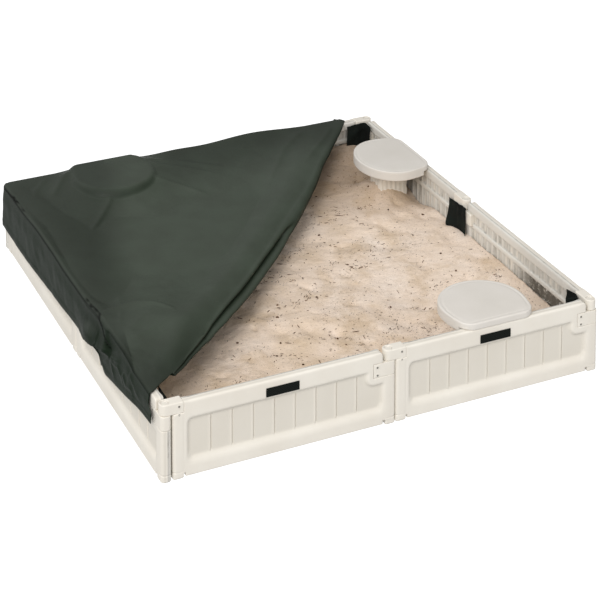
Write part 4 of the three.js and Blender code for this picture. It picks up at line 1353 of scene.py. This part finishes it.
def corner_round(points, radius):
    """Rounds, in plan, the corner where the left and back edges of the top meet."""
    cx, cy = points[..., 0].min() + radius, points[..., 1].max() - radius
    dx, dy = cx - points[..., 0], points[..., 1] - cy
    inside = (dx > 0) & (dy > 0)
    square = np.maximum(dx, dy)
    ratio = np.where(inside, square / np.maximum(np.hypot(dx, dy), 1e-6), 1)
    points[..., 0] = np.where(inside, cx - dx * ratio, points[..., 0])
    points[..., 1] = np.where(inside, cy + dy * ratio, points[..., 1])
    return points


def cover_surface():
    """All the cover's points, its quads, and the hanging skirt's grid that the seams follow."""
    top, ts = cover_top()
    top = corner_round(top, 14.0)
    rows, columns = top.shape[:2]
    fold = cover_fold(top[:, -1], ts)
    border = np.concatenate([top[:, 0], top[-1, 1:]])
    side = np.concatenate([np.full(rows, -1.0), np.full(columns - 1, 1.0)])
    skirt = cover_skirt(border, side)
    top_index = numbered(rows, columns)
    fold_index = numbered(*fold.shape[:2], top_index.size)
    skirt_index = numbered(*skirt.shape[:2], top_index.size + fold_index.size)
    border_index = np.concatenate([top_index[:, 0], top_index[-1, 1:]])
    faces = np.concatenate([
        grid_quads(top_index)[:, ::-1],
        grid_quads(np.concatenate([top_index[:, -1:], fold_index], 1))[:, ::-1],
        grid_quads(np.concatenate([border_index[:, None], skirt_index], 1)),
    ])
    points = np.concatenate([part.reshape(-1, 3) for part in (top, fold, skirt)])
    return points, faces, skirt


def cloth_shade(points, first_skirt):
    """How much light each point of the cloth keeps: less in the valley, at the front and the seam."""
    x, y, z = points.T
    from_valley, _ = path_distance(x, y, VALLEY)
    kept = 0.63 + 0.37 * step_to(from_valley, -50, 80)
    kept = kept * (1 - 0.42 * (1 - step_to(COVER_OUT - y, 20, 260)) * step_to(x, -230, -60))
    kept = kept * (0.50 + 0.50 * step_to(y + 0.4 * (x + PITCH), -500, -230))
    hanging = np.arange(len(points)) >= first_skirt
    hung = 1.0 - 0.12 * bump(y, -170, 130)
    kept = np.where(hanging, kept + (hung - kept) * step_to(left_edge_height(y) - z, 1, 12), kept)
    under = through(LEFT_SEAM, y) - 1.5 - z + 2.5 * cloud(y, z * 0, 17, 91)
    seam = bump(under, 0, 2.6 + 1.3 * cloud(y, z * 0, 29, 92)) * hanging * (x < -PITCH) * (y > -300)
    return kept * (1 - 0.85 * seam)


def stitches(line, lift, spacing, length, thick):
    """Short thread bits along a line of points; lift holds each point's step off the cloth."""
    steps = np.linalg.norm(np.diff(line, axis=0), axis=1)
    run = np.concatenate([[0], np.cumsum(steps)])
    raised = line + lift
    bits = []
    for at in np.arange(spacing, run[-1] - spacing, spacing):
        here, ahead = (np.array([np.interp(s, run, raised[:, i]) for i in range(3)]) for s in (at, at + 1))
        bits.append((tuple(here), tuple(ahead - here), length, thick))
    return bits


def on_skirt(skirt, levels):
    """The points where each hanging column of the skirt reaches the height given for it."""
    line = []
    for column, level in zip(skirt, levels):
        z = column[::-1, 2]
        line.append([np.interp(level, z, column[::-1, i]) for i in range(3)])
    return np.array(line)


def tube_bits(line, thick):
    """Overlapping lengths of cord that follow a line of points."""
    return [(tuple((a + b) / 2), tuple(b - a), 1.35 * float(np.linalg.norm(b - a)), thick)
            for a, b in zip(line, line[1:])]


def build_cover():
    points, faces, skirt = cover_surface()
    sheet_object("cover_sheet", points, faces, SHEET, COVER_SKIN, "cover", ("cover",),
                 cloth_shade(points, len(points) - skirt.size // 3))
    out = skirt[:, 8] - skirt[:, 0]
    out[:, 2] = 0
    out /= np.maximum(np.linalg.norm(out, axis=1), 1e-6)[:, None]
    left = skirt[:TOP_ROWS]
    y = left[:, 0, 1]
    seamed = (y > SEAM_SPAN[0]) & (y < SEAM_SPAN[1])
    levels = np.minimum(through(LEFT_SEAM, y), left[:, 3, 2])
    levels = np.convolve(np.pad(levels, 7, mode="edge"), np.ones(15) / 15, mode="valid")
    seam = on_skirt(left[seamed], levels[seamed]) + out[:TOP_ROWS][seamed] * SEAM_LIFT
    # a near-black cord along the seam; its darkness is partly painted shade
    add("cover_seam", bits_mesh("cover_seam", tube_bits(seam[::2], SEAM_THICK)), "cover", SEAM_SKIN)
    hem = stitches(skirt[:, HEM_ROW], out * THREAD_LIFT, 7.0, 4.2, 0.9)
    add("cover_stitches", bits_mesh("cover_stitches", hem, 5), "cover", THREAD_SKIN)


# ---- Floor, light and camera

CAMERA_AT = Vector((-2.04844, -4.17713, 2.57570))
CAMERA_YAW, CAMERA_PITCH, CAMERA_ROLL = 0.3871, 0.0946, -0.0071
SENSOR = 36.0
LENS = 106.85
SHIFT = (0.2359, -1.2907)
FLOOR_SEEN, FLOOR_GLOW = 1.3, 0.60                     # the white floor as seen, and as it lights things
SKY_SEEN, SKY_GLOW = 1.1, (0.20, 1.06)                 # the surround as seen, and its least and most light
SKY_FROM = (-0.64, 0.05, 0.77)                         # the side where it gives the most light
KEY = ("key", (-3.0, -3.2, 3.5), 2.2, 135, (1.0, 0.985, 0.965))
FILL = ("fill", (2.4, -3.8, 1.9), 2.4, 50, (1.0, 0.99, 0.98))
LIGHTS_AIM = Vector((0, 0, 0.1))


def seen_or_lighting(graph, seen, lighting):
    """One value for what the camera sees and another for the light that falls on things."""
    camera = graph.add("ShaderNodeLightPath").outputs["Is Camera Ray"]
    return graph.math("ADD", graph.times(camera, seen - lighting), lighting)


def build_floor():
    """A pale floor, mostly glowing so that it stays even, just below the feet."""
    skin = Graph("floor", 0.9)
    glow = skin.add("ShaderNodeEmission", strength=seen_or_lighting(skin, FLOOR_SEEN, FLOOR_GLOW))
    skin.set(glow.inputs["Color"], skin.ramp(skin.noise(2, 2), (0.0, "#FEFEFE"), (1.0, "#FFFFFF")))
    skin.surface.inputs["Base Color"].default_value = (0.9, 0.9, 0.9, 1)
    mix = skin.add("ShaderNodeMixShader", fac=0.86)
    skin.set(mix.inputs[1], skin.surface.outputs["BSDF"])
    skin.set(mix.inputs[2], glow.outputs["Emission"])
    skin.set(skin.tree.nodes["Material Output"].inputs["Surface"], mix.outputs["Shader"])
    half, under = 9.0, -0.0006
    corners = [(x * half, y * half, under) for x, y in ((-1, -1), (1, -1), (1, 1), (-1, 1))]
    mesh = bpy.data.meshes.new("floor")
    mesh.from_pydata(corners, [], [(0, 1, 2, 3)])
    mesh.materials.append(skin.material)
    linked("floor", mesh)


def area_light(name, at, size, power, color):
    light = bpy.data.lights.new(name, "AREA")
    light.shape, light.size, light.energy, light.color = "DISK", size, power, color
    thing = linked(name, light)
    thing.location = at
    thing.rotation_mode = "QUATERNION"
    thing.rotation_quaternion = (LIGHTS_AIM - Vector(at)).to_track_quat("-Z", "Y")


def build_light():
    """A white surround, brighter from one side, and two large soft lamps."""
    world = bpy.data.worlds.new("studio")
    bpy.context.scene.world = world
    world.use_nodes = True
    tree = world.node_tree
    sky = tree.nodes["Background"]
    sky.inputs["Color"].default_value = (1, 1, 1, 1)
    path = tree.nodes.new("ShaderNodeLightPath")
    toward = tree.nodes.new("ShaderNodeVectorMath")
    toward.operation = "DOT_PRODUCT"
    toward.inputs[1].default_value = SKY_FROM
    shed, level = (tree.nodes.new("ShaderNodeMapRange") for _ in range(2))
    tree.links.new(tree.nodes.new("ShaderNodeTexCoord").outputs["Generated"], toward.inputs[0])
    tree.links.new(toward.outputs["Value"], shed.inputs["Value"])
    shed.inputs["To Min"].default_value, shed.inputs["To Max"].default_value = SKY_GLOW
    level.inputs["To Max"].default_value = SKY_SEEN
    tree.links.new(shed.outputs["Result"], level.inputs["To Min"])
    tree.links.new(path.outputs["Is Camera Ray"], level.inputs["Value"])
    tree.links.new(level.outputs["Result"], sky.inputs["Strength"])
    area_light(*KEY)
    area_light(*FILL)
    bpy.context.scene.view_settings.view_transform = "Standard"


def build_camera():
    yaw, pitch, roll = CAMERA_YAW, CAMERA_PITCH, CAMERA_ROLL
    ahead = Vector((math.sin(yaw) * math.cos(pitch), math.cos(yaw) * math.cos(pitch), -math.sin(pitch)))
    right = Vector((math.cos(yaw), -math.sin(yaw), 0))
    up = right.cross(ahead)
    right, up = (math.cos(roll) * right + math.sin(roll) * up, math.cos(roll) * up - math.sin(roll) * right)
    data = bpy.data.cameras.new("camera")
    data.sensor_width, data.lens = SENSOR, LENS
    data.clip_start, data.clip_end = 0.05, 50
    thing = linked("camera", data)
    turned = Matrix([(right[i], up[i], -ahead[i]) for i in range(3)])
    thing.matrix_world = Matrix.Translation(CAMERA_AT) @ turned.to_4x4()
    bpy.context.scene.camera = thing
    shift_camera(thing)


def shift_camera(thing):
    """The lens shift belongs to this viewpoint alone, so it drops out when the camera moves."""
    here, near = CAMERA_AT.x + CAMERA_AT.y, 0.01
    for path, value in zip(("shift_x", "shift_y"), SHIFT):
        curve = thing.data.driver_add(path)
        for modifier in list(curve.modifiers):
            curve.modifiers.remove(modifier)
        curve.driver.type = "SUM"
        for axis in ("LOC_X", "LOC_Y"):
            variable = curve.driver.variables.new()
            variable.type = "TRANSFORMS"
            target = variable.targets[0]
            target.id, target.transform_type, target.transform_space = thing, axis, "WORLD_SPACE"
        for place, shift in ((here - 1, 0.0), (here - near, value), (here + near, 0.0)):
            curve.keyframe_points.insert(place, shift).interpolation = "CONSTANT"


build_walls()
build_seats()
build_sand()
build_liner()
build_cover()
build_floor()
build_light()
build_camera()
